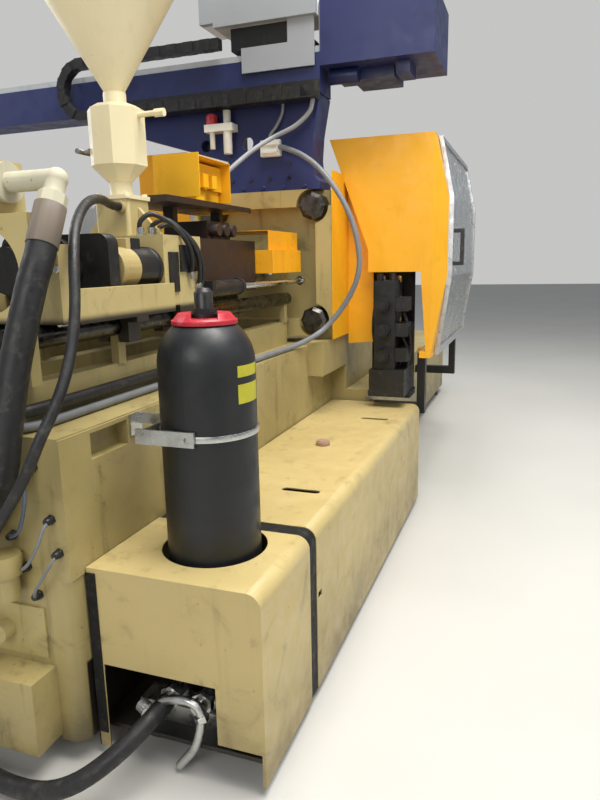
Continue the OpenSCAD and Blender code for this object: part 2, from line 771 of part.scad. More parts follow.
module clamp_ram() {
    color(steel) difference() {
        bar_x(moving_x0 - ram_len, moving_x0, 0, centre_h, ram_d / 2);
        bar_x(moving_x0 - ejector_stroke - 100, moving_x0 + 1, 0, centre_h, 60);
    }
}

module ejector() {
    color(steel) {
        bar_x(moving_x0 - ejector_stroke - 60, moving_x1 - 22, 0, centre_h, 25);
        bar_x(moving_x0 - ejector_stroke - 90, moving_x0 - ejector_stroke - 60, 0, centre_h, 58);
    }
}

// Hardened strips for the moving platen and guide bars for the carriage
module bed_ways() {
    color(steel) {
        for (s = [-1, 1]) block([cyl_x1 + 20, s * way_y - way_w / 2, platen_z0 - way_t],
            [fixed_x0 - 20, s * way_y + way_w / 2, platen_z0]);
        for (s = [-1, 1]) bar_x(guide_x0, guide_x1, s * guide_y, guide_z, guide_r);
    }
}

// Valve stack that feeds the mould cores, in the rear guard's opening
module core_pull_manifold() {
    y0 = 486;
    color(black) {
        block([clamp_x - 90, y0, clamp_base_h], [gx1 + 60, y0 + 170, 690]);
        block([clamp_x - 40, y0 + 20, 689], [gx1 + 40, y0 + 120, 1110]);
        for (z = [760, 880, 1000]) {
            bar_x(gx1 + 39, gx1 + 100, y0 + 70, z, 30);
            bar_x(gx1 + 99, gx1 + 112, y0 + 70, z, 21);
            block([clamp_x + 10, y0 + 119, z - 32], [gx1 + 30, y0 + 176, z + 32]);
        }
        for (y = [y0 + 40, y0 + 100]) translate([gx1, y, 1109]) cylinder(h = 34, r = 16);
    }
}

// Guards

// Side of a guard from top to bottom edge, bulged outwards between two bends
bulge_line = [
    [0, guard_top], [gate_bulge, guard_top - 270], [gate_bulge, guard_bottom + 380], [0, guard_bottom]];

// A bulged sheet of thickness t, drawn with Y to the right and Z up
module bulged_sheet(y, t) {
    p = bulge_line;
    polygon(concat([for (q = p) [y + q[0], q[1]]],
        [for (i = [len(p) - 1:-1:0]) [y - t + p[i][0], p[i][1]]]));
}

// Side strip beside a gate, from the straight edge of the end panel out to the gate's bulge
module guard_side() {
    for (i = [0:2]) let (a = bulge_line[i], b = bulge_line[i + 1]) hull() {
        slab_x(gate_x1 + 8, gate_x1 + 9) polygon([[gy + a[0], a[1]], [gy + b[0], b[1]],
            [gy + b[0] - guard_t, b[1]], [gy + a[0] - guard_t, a[1]]]);
        slab_x(gx1 - 2, gx1 - 1) polygon([[gy, a[1]], [gy, b[1]], [gy - guard_t, b[1]], [gy - guard_t, a[1]]]);
    }
}

module rear_guard() {
    cut_y = gy - 300;
    color(yellow) {
        // Main end panel, slanted on its platen side and cut open low down
        slab_x(gx1 - guard_t, gx1) polygon([[280, guard_top], [gy, guard_top],
            [gy, guard_bottom], [gy - 18, guard_bottom + 10], [gy - 50, 1150], [cut_y, 1150],
            [cut_y, 1254]]);
        // Slanted side between the end panel and the set-back panel
        slab_x(gx1 - 70, gx1 - 1) polygon([[280, guard_top], [280 + 4, guard_top],
            [cut_y + 4, 1254], [cut_y + 4, 1150], [cut_y, 1150], [cut_y, 1254]]);
        slab_x(gx1 - 73, gx1 - 70) polygon([[platen_w / 2 + 4, guard_top - 138], [platen_w / 2 + 4, 800],
            [cut_y + 10, 810], [cut_y + 10, 1280]]);
        // Sheet on the side of the fixed platen
        block([gx1 - 73, platen_w / 2 + 1, 850], [platen_x - 4, platen_w / 2 + 5, 1600]);
        guard_side();
        // Top and bottom rails and the far post
        block([gx0, gy - 60, guard_top - 34], [gx1 - 1, gy + 2 - slide_gap, guard_top]);
        block([gx0, gy - 50, guard_bottom], [gx1 - 1, gy + 2 - slide_gap, guard_bottom + 30]);
        block([gx0, gy - 50, guard_bottom], [gx0 + 50, gy - guard_t - gap, guard_top]);
        // Feet down to the base
        block([gx0, gy - 90, clamp_base_h], [gx0 + 50, gy - 50, guard_bottom + 20]);
        block([clamp_x - 150, gy - 90, clamp_base_h], [clamp_x - 100, gy - 50, guard_bottom + 20]);
    }
}

module gate_frame(y, side) {
    mirror([0, side < 0 ? 1 : 0, 0]) difference() {
        slab_x(gate_x0, gate_x1) bulged_sheet(y + 22, 20);
        slab_x(gate_x0 + 26, gate_x1 - 26) polygon([[0, guard_top - 26], [2000, guard_top - 26],
            [2000, guard_bottom + 40], [0, guard_bottom + 40]]);
    }
}

module gate_window(y, side) {
    mirror([0, side < 0 ? 1 : 0, 0]) intersection() {
        slab_x(gate_x0 + 26, gate_x1 - 26) bulged_sheet(y + 15, 6);
        block([gate_x0, 0, guard_bottom + 40], [gate_x1, 2000, guard_top - 26]);
    }
}

module rear_gate() {
    color("#c9cbc8") gate_frame(gy, 1);
}

module rear_gate_window() {
    color("#c6ccd2") gate_window(gy, 1);
}

module rear_gate_handle() {
    y = gy + gate_bulge + 22;
    color(black) {
        for (z = [1175, 1326]) block([gate_x1 - 26, y, z], [gate_x1 - 6, y + 34, z + 18]);
        block([gate_x1 - 26, y + 33, 1175], [gate_x1 - 6, y + 50, 1344]);
    }
}

module front_guard() {
    color(yellow) mirror([0, 1, 0]) {
        block([gx1 - guard_t, gy - 290, guard_bottom], [gx1, gy, guard_top]);
        guard_side();
        block([gx0, gy - 60, guard_top - 34], [gx1 - 1, gy + 2 - slide_gap, guard_top]);
        block([gx0, gy - 50, guard_bottom], [gx1 - 1, gy + 2 - slide_gap, guard_bottom + 30]);
        block([gx0, gy - 50, guard_bottom], [gx0 + 50, gy - guard_t - gap, guard_top]);
        block([gx0, gy - 90, clamp_base_h], [gx0 + 50, gy - 50, guard_bottom + 20]);
        block([clamp_x - 150, arm_y - 24, clamp_base_h], [clamp_x - 100, gy - 50, guard_bottom + 20]);
    }
}

module front_gate() {
    y = gy + gate_bulge + 22;
    color(yellow) {
        gate_frame(gy, -1);
        mirror([0, 1, 0]) {
            for (z = [1100, 1400]) block([gate_x0 + 6, y - 1, z], [gate_x0 + 20, y + 34, z + 14]);
            block([gate_x0 + 6, y + 33, 1100], [gate_x0 + 20, y + 46, 1414]);
        }
    }
}

module front_gate_window() {
    color("#c6ccd2") gate_window(gy, -1);
}

// Injection unit

// A foot that wraps a guide bar and is open below
module guide_foot(xa, xb) {
    for (s = [-1, 1]) difference() {
        block([xa, s * guide_y - 50, guide_z - 45], [xb, s * guide_y + 50, rail_h + 116]);
        bar_x(xa - 1, xb + 1, s * guide_y, guide_z, guide_r + fit);
        block([xa - 1, s * guide_y - 17, guide_z - 60], [xb + 1, s * guide_y + 17, guide_z]);
    }
}

module injection_carriage() {
    color(cream) difference() {
        union() {
            guide_foot(block_x0 + 30, block_x0 + 150);
            guide_foot(block_x1 + 147, block_x1 + 205);
            block([block_x0, -block_w / 2, rail_h + 115], [block_x1, block_w / 2, centre_h + 96]);
            translate([hx, 0, centre_h + 95]) linear_extrude(neck_z - centre_h - 95) arc_rect(neck_w, neck_w, 12);
            // Gussets of the neck
            for (s = [-1, 1]) translate([hx - 8, 0, 0]) rotate([90, 0, 90]) linear_extrude(16)
                polygon([[s * 58, centre_h + 95], [s * 140, centre_h + 95], [s * 58, neck_z - 20]]);
            for (s = [-1, 1]) block([block_x1 - 1, s > 0 ? beam_in : -beam_in - 30, rail_h + 101],
                [beam_x1 + 1, s > 0 ? beam_in + 30 : -beam_in, rail_h + 184]);
            for (s = [-1, 1]) block([block_x1 + 147, s > 0 ? guide_y + 40 : -beam_in - 30, rail_h + 85],
                [block_x1 + 205, s > 0 ? beam_in + 30 : -guide_y - 40, rail_h + 116]);
            // Rear plate and the manifold on it
            block([beam_x1, -carriage_w / 2, rail_h + 105], [rear_x1, carriage_w / 2, centre_h + 58]);
            block([beam_x1, -140, centre_h + 57], [rear_x1, 140, centre_h + 130]);
            block([beam_x1 - 30, -80, centre_h + 129], [rear_x1 + 20, 60, centre_h + 250]);
            bar_x(hx + neck_w / 2 - 1, hx + neck_w / 2 + 12, 36, neck_z - 24, 18);
        }
        bar_x(block_x0 - 1, barrel_x1, 0, centre_h, barrel_r + fit);
        bar_x(barrel_x1 - 1, block_x1 + 1, 0, centre_h, 40);
        for (s = [-1, 1]) bar_x(piston_x - 3, block_x1 + 1, s * shot_y, centre_h, piston_r);
        translate([hx, 0, centre_h]) cylinder(h = 300, r = 30);
        bar_x(beam_x1 - 1, rear_x1 + 1, 0, centre_h, motor_r + 14);
        for (s = [-1, 1], y = [174, 200]) bar_x(rear_x1 - 20, rear_x1 + 1, s * y, centre_h + 3, 8);
    }
}

// Pale cast elbow on the manifold, with the sleeve that grips the main hose
module motor_elbow() {
    corner = [rear_x1 - 25, 212, centre_h + 200];
    color("#cfc7a8") {
        bar_y(corner[0], 60, corner[1], corner[2], 23);
        bar_y(corner[0], 60, 80, corner[2], 46);
        translate(corner) sphere(r = 25);
        translate(corner) rotate([0, 155, 0]) {
            cylinder(h = 62, r = 23);
            translate([0, 0, 40]) cylinder(h = 28, r = 33, $fn = 8);
        }
    }
    color("#75685a") translate(corner) rotate([0, 155, 0]) translate([0, 0, 67]) cylinder(h = 95, r = 35);
}

module carriage_cylinders() {
    xa = block_x0 - carriage_stroke - 15;
    color(black) for (s = [-1, 1]) difference() {
        union() {
            bar_x(xa, block_x0, s * rod_y, rod_z, 27);
            bar_x(xa, xa + 22, s * rod_y, rod_z, 30);
            // Lug that ties the cylinder to the block
            block([block_x0 - 24, s > 0 ? 150 : -rod_y - 28, rod_z - 24],
                [block_x0, s > 0 ? rod_y + 28 : -150, rod_z + 28]);
        }
        bar_x(xa - 1, block_x0 - 6, s * rod_y, rod_z, rod_r + fit);
    }
}

module carriage_rods() {
    color(steel) for (s = [-1, 1]) {
        bar_x(platen_x, block_x0 - 8, s * rod_y, rod_z, rod_r);
        bar_x(platen_x, platen_x + 18, s * rod_y, rod_z, 22, 6);
    }
}

module injection_cylinders() {
    color("#2b3548") for (s = [-1, 1]) difference() {
        union() {
            bar_x(block_x1, shot_x1, s * shot_y, centre_h, shot_r);
            bar_x(shot_x1 - 20, shot_x1, s * shot_y, centre_h, shot_r + 4);
            bar_x(block_x1, block_x1 + 16, s * shot_y, centre_h, shot_r + 4);
            block([block_x1 + 60, s * shot_y - 24, centre_h + shot_r - 10],
                [block_x1 + 130, s * shot_y + 24, centre_h + shot_r + 26]);
        }
        bar_x(block_x1 - 1, shot_x1 - 18, s * shot_y, centre_h, piston_r);
        bar_x(shot_x1 - 19, shot_x1 + 1, s * shot_y, centre_h, 20 + fit);
    }
}

module injection_rods() {
    color(steel) for (s = [-1, 1]) {
        bar_x(piston_x, cross_x0, s * shot_y, centre_h, 20);
        bar_x(piston_x, piston_x + 18, s * shot_y, centre_h, piston_r - fit);
    }
}

module crosshead() {
    color(cream) difference() {
        slab_x(cross_x0, cross_x1) translate([0, centre_h]) arc_rect(350, 184, 30);
        bar_x(cross_x0 - 1, cross_x1 + 1, 0, centre_h, 30 + fit);
    }
}

module screw_motor() {
    color(black) {
        difference() {
            union() {
                bar_x(cross_x1, cross_x1 + 22, 0, centre_h, motor_r);
                bar_x(cross_x1 + 21, cross_x1 + 140, 0, centre_h, motor_r - 14);
                bar_x(cross_x1 + 139, cross_x1 + 180, 0, centre_h, motor_r - 30);
                for (a = [0:72:288]) translate([cross_x1 + 30, 0, centre_h]) rotate([a, 0, 0])
                    translate([0, 0, motor_r - 20]) cylinder(h = 18, r = 24);
            }
            bar_x(cross_x1 - 1, cross_x1 + 61, 0, centre_h, 30 + fit);
        }
    }
}

// The flight is a ribbon that winds round the core, sixteen steps to the turn
module flight(xa, xb, root, tip) {
    steps = floor((xb - xa) / screw_pitch * 16);
    half = screw_pitch * 0.055;
    points = [for (i = [0:steps]) let (a = i * 22.5, x = xa + i * screw_pitch / 16)
        each [[x + half * 1.5, root * cos(a), root * sin(a)], [x + half, tip * cos(a), tip * sin(a)],
            [x - half, tip * cos(a), tip * sin(a)], [x - half * 1.5, root * cos(a), root * sin(a)]]];
    faces = concat([[0, 1, 2, 3]],
        [for (i = [0:steps - 1], k = [0:3])
            [i * 4 + k, i * 4 + 4 + k, i * 4 + 4 + (k + 1) % 4, i * 4 + (k + 1) % 4]],
        [[steps * 4 + 3, steps * 4 + 2, steps * 4 + 1, steps * 4]]);
    polyhedron(points, faces, convexity = 20);
}

module screw() {
    tip_r = bore_r - 0.5;
    root_r = bore_r * 0.64;
    x_tip = barrel_x0 + 45;
    color(steel) {
        translate([x_tip - 28, 0, centre_h]) rotate([0, 90, 0]) cylinder(h = 28, r1 = 3, r2 = root_r);
        bar_x(x_tip, barrel_x1 - 30, 0, centre_h, root_r);
        bar_x(barrel_x1 - 31, barrel_x1 - 2, 0, centre_h, bore_r - 0.3);
        bar_x(barrel_x1 - 3, cross_x0 - 20, 0, centre_h, 22);
        bar_x(cross_x0 - 21, cross_x1 + 60, 0, centre_h, 30);
        translate([0, 0, centre_h]) flight(x_tip + 20, barrel_x1 - 60, root_r - 1, tip_r);
    }
}

module barrel() {
    color(steel) difference() {
        union() {
            bar_x(barrel_x0, barrel_x1, 0, centre_h, barrel_r);
            bar_x(barrel_x0 - 40, barrel_x0 + 1, 0, centre_h, barrel_r - 6);
            bar_x(platen_x - 120, barrel_x0 - 39, 0, centre_h, 26);
            bar_x(platen_x - 60, platen_x - 30, 0, centre_h, 34, 6);
            translate([platen_x - 164, 0, centre_h]) rotate([0, 90, 0]) cylinder(h = 45, r1 = 14, r2 = 26);
        }
        bar_x(barrel_x0 + 10, barrel_x1 + 1, 0, centre_h, bore_r);
        bar_x(platen_x - 176, barrel_x0 + 11, 0, centre_h, 4);
        translate([hx, 0, centre_h]) cylinder(h = 200, r = 26);
    }
}

module heater_bands() {
    color("#9b8a62") for (i = [0:4]) translate([barrel_x0 + 40 + i * 150, 0, 0]) {
        difference() {
            bar_x(0, 110, 0, centre_h, barrel_r + 7);
            bar_x(-1, 111, 0, centre_h, barrel_r);
        }
        block([40, -16, centre_h + barrel_r + 5], [70, 16, centre_h + barrel_r + 20]);
    }
}

module barrel_guard() {
    color("#3a2c26") {
        // Sheet hood over the heated barrel
        difference() {
            block([bg_x0, -bg_w / 2, bg_z0], [block_x0, bg_w / 2, bg_z1]);
            block([bg_x0 + 2, -bg_w / 2 + 2, bg_z0 - 1], [block_x0 - 2, bg_w / 2 - 2, bg_z1 - 2]);
            bar_x(bg_x0 - 1, block_x0 + 1, 0, centre_h, barrel_r + 12);
            block([bg_x0 - 1, -barrel_r - 12, bg_z0 - 1], [block_x0 + 1, barrel_r + 12, centre_h]);
        }
        // Hinge rod of the nozzle guard, and its lug
        bar_x(hood_x0 + 20, bg_x0 + 1, -hinge_y, hood_mid, 5);
        block([bg_x0, -hinge_y - 9, hood_mid - 11], [bg_x0 + 8, -bg_w / 2 + 1, hood_mid + 11]);
    }
    color("#3c3d40") {
        // Flat tray above the hood on two posts, with the valves under it
        block([bg_x0 + 4, -120, neck_z], [hx - neck_w / 2 - 8, 120, neck_z + 20]);
        for (x = [bg_x0 + 60, bg_x0 + 420]) block([x, -20, bg_z1 - 1], [x + 30, 20, neck_z + 1]);
        block([bg_x0 + 150, -30, bg_z1 - 1], [bg_x0 + 340, 92, bg_z1 + 66]);
        for (x = [bg_x0 + 182, bg_x0 + 245, bg_x0 + 308]) bar_y(x, 91, 128, bg_z1 + 34, 22);
    }
}

// Yellow hood over the nozzle, hinged on the operator side
module nozzle_guard() {
    module hood(d) {
        polygon([[-hood_y + d, hood_z0 - 2 * d], [-hood_y + d, hood_mid - d],
            [-hood_y + 16 + d, hood_mid - d], [-hood_y + 16 + d, hood_top - d],
            [hood_y - 16 - d, hood_top - d], [hood_y - 16 - d, hood_mid - d],
            [hood_y - d, hood_mid - d], [hood_y - d, hood_z0 - 2 * d]]);
    }
    color(yellow) {
        difference() {
            slab_x(hood_x0, hood_x1) hood(0);
            slab_x(hood_x0 - 1, hood_x1 + 1) hood(2);
        }
        // End flaps low down on both sides of the barrel
        for (s = [-1, 1]) block([hood_x1 - 2, s > 0 ? 96 : -hood_y + 1, hood_z0],
            [hood_x1, s > 0 ? hood_y - 1 : -96, hood_mid - 1]);
        // Hinge knuckles
        for (x = [hood_x0 + 34, hood_x1 - 60]) difference() {
            union() {
                bar_x(x, x + 24, -hinge_y, hood_mid, 9);
                block([x, -hinge_y, hood_mid - 9], [x + 24, -hood_y + 1, hood_mid - 2]);
            }
            bar_x(x - 1, x + 25, -hinge_y, hood_mid, 5 + fit);
        }
    }
}

// Hopper

module hopper_housing() {
    z0 = flange_z + 42;
    z1 = z0 + 46;
    z2 = z1 + 162;
    gate_z = z1 + 50;
    color("#e0cf98") difference() {
        union() {
            translate([hx, 0, neck_z]) linear_extrude(12) arc_rect(130, 130, 10);
            for (sx = [-1, 1], sy = [-1, 1]) translate([hx + sx * 50, sy * 50, flange_z - 1])
                cylinder(h = 9, r = 9, $fn = 6);
            translate([hx, 0, flange_z - 1]) cylinder(h = 44, r = 34);
            translate([hx, 0, z0]) rotate(22.5) cylinder(h = z1 - z0, r1 = 38, r2 = housing_r - 1.5, $fn = 8);
            translate([hx, 0, z1]) rotate(22.5) cylinder(h = z2 - z1, r = housing_r, $fn = 8);
            translate([hx, 0, z2]) rotate(22.5) cylinder(h = 14, r1 = housing_r - 1.5, r2 = 60, $fn = 8);
            translate([hx, 0, z2 + 13]) cylinder(h = 33, r = 34);
            // Sampling spout's rod on the aisle side
            bar_y(hx, housing_r - 12, housing_r + 58, z1 + 144, 8);
            bar_y(hx, housing_r + 50, housing_r + 82, z1 + 144, 12, 8);
        }
        translate([hx, 0, neck_z - 1]) cylinder(h = gate_z - neck_z + 2, r = 28);
        translate([hx, 0, gate_z + 4.4]) cylinder(h = z2 - gate_z - 4, r = housing_r - 14);
        translate([hx, 0, z2 - 1]) cylinder(h = 50, r = 26);
        // Way for the slide plate
        block([hx - 40, -housing_r - 1, gate_z], [hx + 40, 40, gate_z + 4.5]);
    }
}

module hopper_slide() {
    gate_z = flange_z + 42 + 46 + 50;
    color(steel) block([hx - 39, -housing_r + 2, gate_z + 0.5], [hx + 39, 36, gate_z + 4]);
    color(black) {
        bar_y(hx, -housing_r - 44, -housing_r + 6, gate_z + 2.2, 5);
        bar_x(hx - 30, hx + 30, -housing_r - 44, gate_z + 2.2, 8);
    }
}

module hopper() {
    z0 = flange_z + 42 + 46 + 162 + 46;
    cone_z = z0 + 4;
    cone_h = (hopper_d / 2 - 30) * 1.66;
    color("#e3cf95") translate([hx, 0, 0]) difference() {
        union() {
            translate([0, 0, z0]) cylinder(h = 5, r = 33);
            translate([0, 0, cone_z]) cylinder(h = cone_h, r1 = 29, r2 = hopper_d / 2, $fn = 96);
            translate([0, 0, cone_z + cone_h - 0.5]) cylinder(h = hopper_top - cone_z - cone_h + 0.5,
                r = hopper_d / 2, $fn = 96);
            translate([0, 0, hopper_top - 8]) cylinder(h = 8, r = hopper_d / 2 + 6, $fn = 96);
            // Hinge ears of the lid
            for (sx = [-1, 1]) block([sx * 40 - 5, -hopper_d / 2 - 26, hopper_top - 20],
                [sx * 40 + 5, -hopper_d / 2 - 2, hopper_top + 14]);
        }
        translate([0, 0, z0 - 1]) cylinder(h = 8, r = 24);
        translate([0, 0, cone_z + 1]) cylinder(h = cone_h, r1 = 26, r2 = hopper_d / 2 - 2.5, $fn = 96);
        translate([0, 0, cone_z + cone_h - 1]) cylinder(h = hopper_top, r = hopper_d / 2 - 2.5, $fn = 96);
        bar_x(-50, 50, -hopper_d / 2 - 16, hopper_top + 4, 4 + fit);
    }
}

module hopper_lid() {
    color("#e3cf95") translate([hx, 0, 0]) {
        difference() {
            translate([0, 0, hopper_top + gap]) cylinder(h = 10, r = hopper_d / 2 + 6, $fn = 96);
            for (sx = [-1, 1]) block([sx * 40 - 7, -hopper_d / 2 - 30, hopper_top - 1],
                [sx * 40 + 7, -hopper_d / 2 + 2, hopper_top + 20]);
        }
        bar_x(-55, 55, -hopper_d / 2 - 16, hopper_top + 4, 4);
        block([-32, -hopper_d / 2 - 18, hopper_top + gap], [32, -hopper_d / 2 + 10, hopper_top + 7]);
        // Handle on top
        translate([0, 120, hopper_top + 10]) cylinder(h = 26, r = 9);
        translate([0, 120, hopper_top + 35]) cylinder(h = 12, r = 20);
    }
}

// Yellow hood over the barrel's terminals, open towards the aisle
module terminal_hood() {
    xa = platen_x + 430;
    xb = platen_x + 730;
    za = neck_z + 20;
    zb = za + 172;
    color(yellow) {
        block([xb - 3, -106, za + 20], [xb, 82, zb - 2]);
        block([xa, -106, za + 20], [xb - 1, -103, zb - 6]);
        block([xa, -106, zb - 8], [xb - 1, 62, zb - 5]);
        block([xa, -106, za + 20], [xa + 3, 60, zb - 6]);
    }
    // Terminal blocks inside and under it
    color("#6b4a34") block([xa + 2, -104, za + 60], [xb - 40, 20, zb - 20]);
    color("#e4e0d6") for (x = [xa + 90, xa + 160]) block([x, 19, za + 62], [x + 40, 46, za + 112]);
    color(black) block([xa + 10, -80, za], [xb - 6, 10, za + 62]);
    color("#c83a22") block([xb - 70, 9, za], [xb - 6, 62, za + 26]);
}

// Control panel on an arm from the fixed platen

module control_panel() {
    color("#c9cbc8") {
        block([platen_x - 110, -800, 1210], [platen_x - 40, -platen_w / 2, 1290]);
        difference() {
            translate([platen_x - 10, -800, 1280]) rotate([90, 0, 0]) linear_extrude(90)
                arc_rect(330, 420, 16);
            block([platen_x - 140, -891, 1300], [platen_x + 120, -884, 1460]);
            bar_y(platen_x + 100, -891, -850, 1140, 12 + fit);
        }
    }
    color(black) block([platen_x - 138, -887, 1302], [platen_x + 118, -883, 1458]);
}

module emergency_stop() {
    color("#c41f2a") {
        bar_y(platen_x + 100, -900, -858, 1140, 12);
        bar_y(platen_x + 100, -922, -899, 1140, 22);
    }
}

// Take-out robot

module robot_pedestal() {
    z0 = platen_z1;
    color(blue) {
        difference() {
            slab_x(ped_x0, ped_x1) difference() {
                polygon([[-330, z0], [290, z0], [290, z0 + 34], [262, z0 + 60], [254, z0 + 140],
                    [262, z0 + 240], [292, beam_z], [-640, beam_z], [-648, beam_z - 110],
                    [-160, z0 + 146], [-190, z0 + 60], [-330, z0 + 34]]);
                // Round windows
                translate([-272, z0 + 222]) circle(26);
                translate([-62, z0 + 218]) circle(30);
            }
            // Hollow of the column behind its front plate
            block([ped_x0 - 1, -130, z0 + 60], [ped_x1 - 30, 225, beam_z - 60]);
        }
    }
    color(steel) for (y = [-270, -180, -88, 14, 115, 215])
        bar_x(ped_x1, ped_x1 + 8, y, z0 + 17, 9, 6);
}

module robot_beam() {
    color(blue) difference() {
        block([beam_x0, beam_end - beam_len, beam_z], [platen_x, beam_end, beam_top]);
        block([beam_x0 + 8, beam_end - beam_len - 1, beam_z + 8], [platen_x - 8, beam_end - 30, beam_top - 8]);
    }
    // Linear rails on top and in front
    color("#d4d6d8") {
        block([platen_x - 34, beam_end - beam_len, beam_top], [platen_x - 4, beam_end, beam_top + rail_t]);
        block([beam_x0 + 4, beam_end - beam_len, beam_top], [beam_x0 + 34, beam_end, beam_top + rail_t]);
    }
    // End housing with the drives and valves that hang below it
    z0 = beam_z + 105;
    color(blue) block([platen_x - 390, beam_end - 1, z0], [platen_x, box_y1 - 10, z0 + 255]);
    color("#c6c8cc") block([platen_x - 390, box_y1 - 11, z0], [platen_x, box_y1, z0 + 255]);
    color("#c98a2e") block([platen_x - 330, beam_end + 110, z0 - 44], [platen_x - 120, beam_end + 300, z0 + 1]);
    color(black) {
        bar_y(platen_x - 90, beam_end + 20, beam_end + 150, z0 - 30, 32);
        block([platen_x - 200, beam_end + 320, z0 - 50], [platen_x - 60, beam_end + 380, z0 + 1]);
    }
}

module robot_carriage() {
    z0 = beam_top + rail_t;
    color(steel) {
        block([platen_x + 6, beam_end - 360, beam_top - 54], [platen_x + 16, beam_end - 20, z0 + 24]);
        block([beam_x0 - 6, beam_end - 360, z0], [platen_x + 16, beam_end - 20, z0 + 24]);
        block([platen_x + 6, beam_end - 140, z0 + 23], [platen_x + 16, beam_end - 20, z0 + 118]);
    }
    color(black) block([beam_x0 + 20, beam_end - 420, z0 + 23], [platen_x - 10, beam_end - 100, z0 + 118]);
    color("#f2f3f4") difference() {
        block([beam_x0 - 20, beam_end - 552, z0 + 117], [platen_x + 34, beam_end - 6, z0 + 300]);
        block([beam_x0 - 21, beam_end - 560, z0 + 116], [platen_x + 35, beam_end - 486, z0 + 136]);
    }
    // Bracket that guides the column on the mould side
    color(steel) difference() {
        block([column_x - 20, 8, z0], [beam_x0 - 5, 122, z0 + 114]);
        block([column_x - slide_gap, 30 - slide_gap, z0 - 1],
            [column_x + 70 + slide_gap, 100 + slide_gap, z0 + 115]);
    }
}

module robot_column() {
    z0 = beam_top + rail_t;
    xa = column_x;
    color("#c6c8cc") difference() {
        union() {
            block([xa, 30, z0 - 120], [xa + 70, 100, z0 + lift + 120]);
            block([xa - 10, 20, z0 + lift + 119], [xa + 80, 110, z0 + lift + 130]);
            // Flange for the gripper
            block([xa - 20, 10, z0 - 132], [xa + 90, 120, z0 - 119]);
        }
        block([xa + 8, 38, z0 - 119], [xa + 62, 92, z0 + lift + 100]);
        for (sx = [-1, 1], sy = [-1, 1])
            translate([xa + 35 + sx * 45, 65 + sy * 45, z0 - 133]) cylinder(h = 15, r = 4.5);
    }
}

// Energy chain in front of the beam: upper run, half turn and lower run
chain_z0 = beam_z - 8;
chain_r = 117;
chain_pitch = 42;
chain_y0 = beam_end - 1180;

module chain_link(w) {
    cube([w, 47, 44], center = true);
}

module cable_chain() {
    x = platen_x + 56;
    runs = 18;
    low = 27;
    turns = 9;
    color("#2e3034") {
        for (i = [0:runs - 1]) translate([x, chain_y0 + i * chain_pitch, chain_z0 + 2 * chain_r])
            chain_link(i % 2 == 0 ? 50 : 42);
        for (i = [0:low - 1]) translate([x, chain_y0 + i * chain_pitch, chain_z0])
            chain_link(i % 2 == 0 ? 50 : 42);
        for (i = [1:turns]) let (a = 90 + i * 180 / (turns + 1))
            translate([x, chain_y0 + chain_r * cos(a), chain_z0 + chain_r + chain_r * sin(a)])
                rotate([a + 90, 0, 0]) chain_link(i % 2 == 0 ? 50 : 42);
        // Trough of the lower run, on the beam's front
        block([platen_x, chain_y0 + 200, chain_z0 - 27], [x + 26, beam_end, chain_z0 - 22]);
        block([platen_x, chain_y0 + 200, chain_z0 - 27], [platen_x + 4, beam_end, chain_z0 + 60]);
    }
}

// Air service unit on the pedestal's front
air_x = ped_x1 + 40;
air_y = -150;
air_z = beam_z - 62;

module air_unit() {
    color("#e6e8ea") {
        block([ped_x1, air_y - 97, air_z - 68], [air_x + 24, air_y + 44, air_z - 36]);
        translate([air_x, air_y + 10, air_z - 37]) cylinder(h = 58, r = 17);
    }
    color("#aab0b6") {
        translate([air_x, air_y + 10, air_z - 166]) cylinder(h = 99, r = 20);
        translate([air_x, air_y - 67, air_z - 140]) cylinder(h = 73, r = 12);
    }
}

module air_knob() {
    color("#c9252f") translate([air_x, air_y - 67, air_z - 36]) {
        cylinder(h = 40, r = 27, $fn = 8);
        translate([0, 0, 39]) cylinder(h = 8, r = 18);
    }
}

// Hoses and cables

module main_hose() {
    color(black) hose(main_route, main_hose_d, 12);
}

module carriage_hose() {
    color(black) hose(carriage_route, carriage_hose_d);
}

module robot_cable() {
    color("#4a4c50") hose(robot_route, robot_cable_d);
}

module bed_hose() {
    color(black) hose(bed_route, bed_hose_d);
}

module return_hose() {
    color(black) hose(return_route, return_hose_d, 12);
}

base_frame();
levelling_feet();
junction_box();
motor_elbow();
tank_cover_front();
tank_cover_rear();
cover_gasket();
filler_cap();
accumulator_shell();
accumulator_ring();
accumulator_valve();
accumulator_clamp();
return_fittings();
fixed_platen();
tie_bars();
tie_bar_nuts();
moving_platen();
cylinder_platen();
clamp_ram();
ejector();
bed_ways();
core_pull_manifold();
rear_guard();
rear_gate();
rear_gate_window();
rear_gate_handle();
front_guard();
front_gate();
front_gate_window();
injection_carriage();
carriage_cylinders();
carriage_rods();
injection_cylinders();
injection_rods();
crosshead();
screw_motor();
screw();
barrel();
heater_bands();
barrel_guard();
nozzle_guard();
hopper_housing();
hopper_slide();
hopper();
hopper_lid();
terminal_hood();
control_panel();
emergency_stop();
robot_pedestal();
robot_beam();
robot_carriage();
robot_column();
cable_chain();
air_unit();
air_knob();
main_hose();
carriage_hose();
robot_cable();
bed_hose();
return_hose();
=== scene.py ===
# Injection moulding machine with a take-out robot: camera, light, materials, hoses and fine detail.
import bpy, bmesh, math
from mathutils import Vector, Matrix


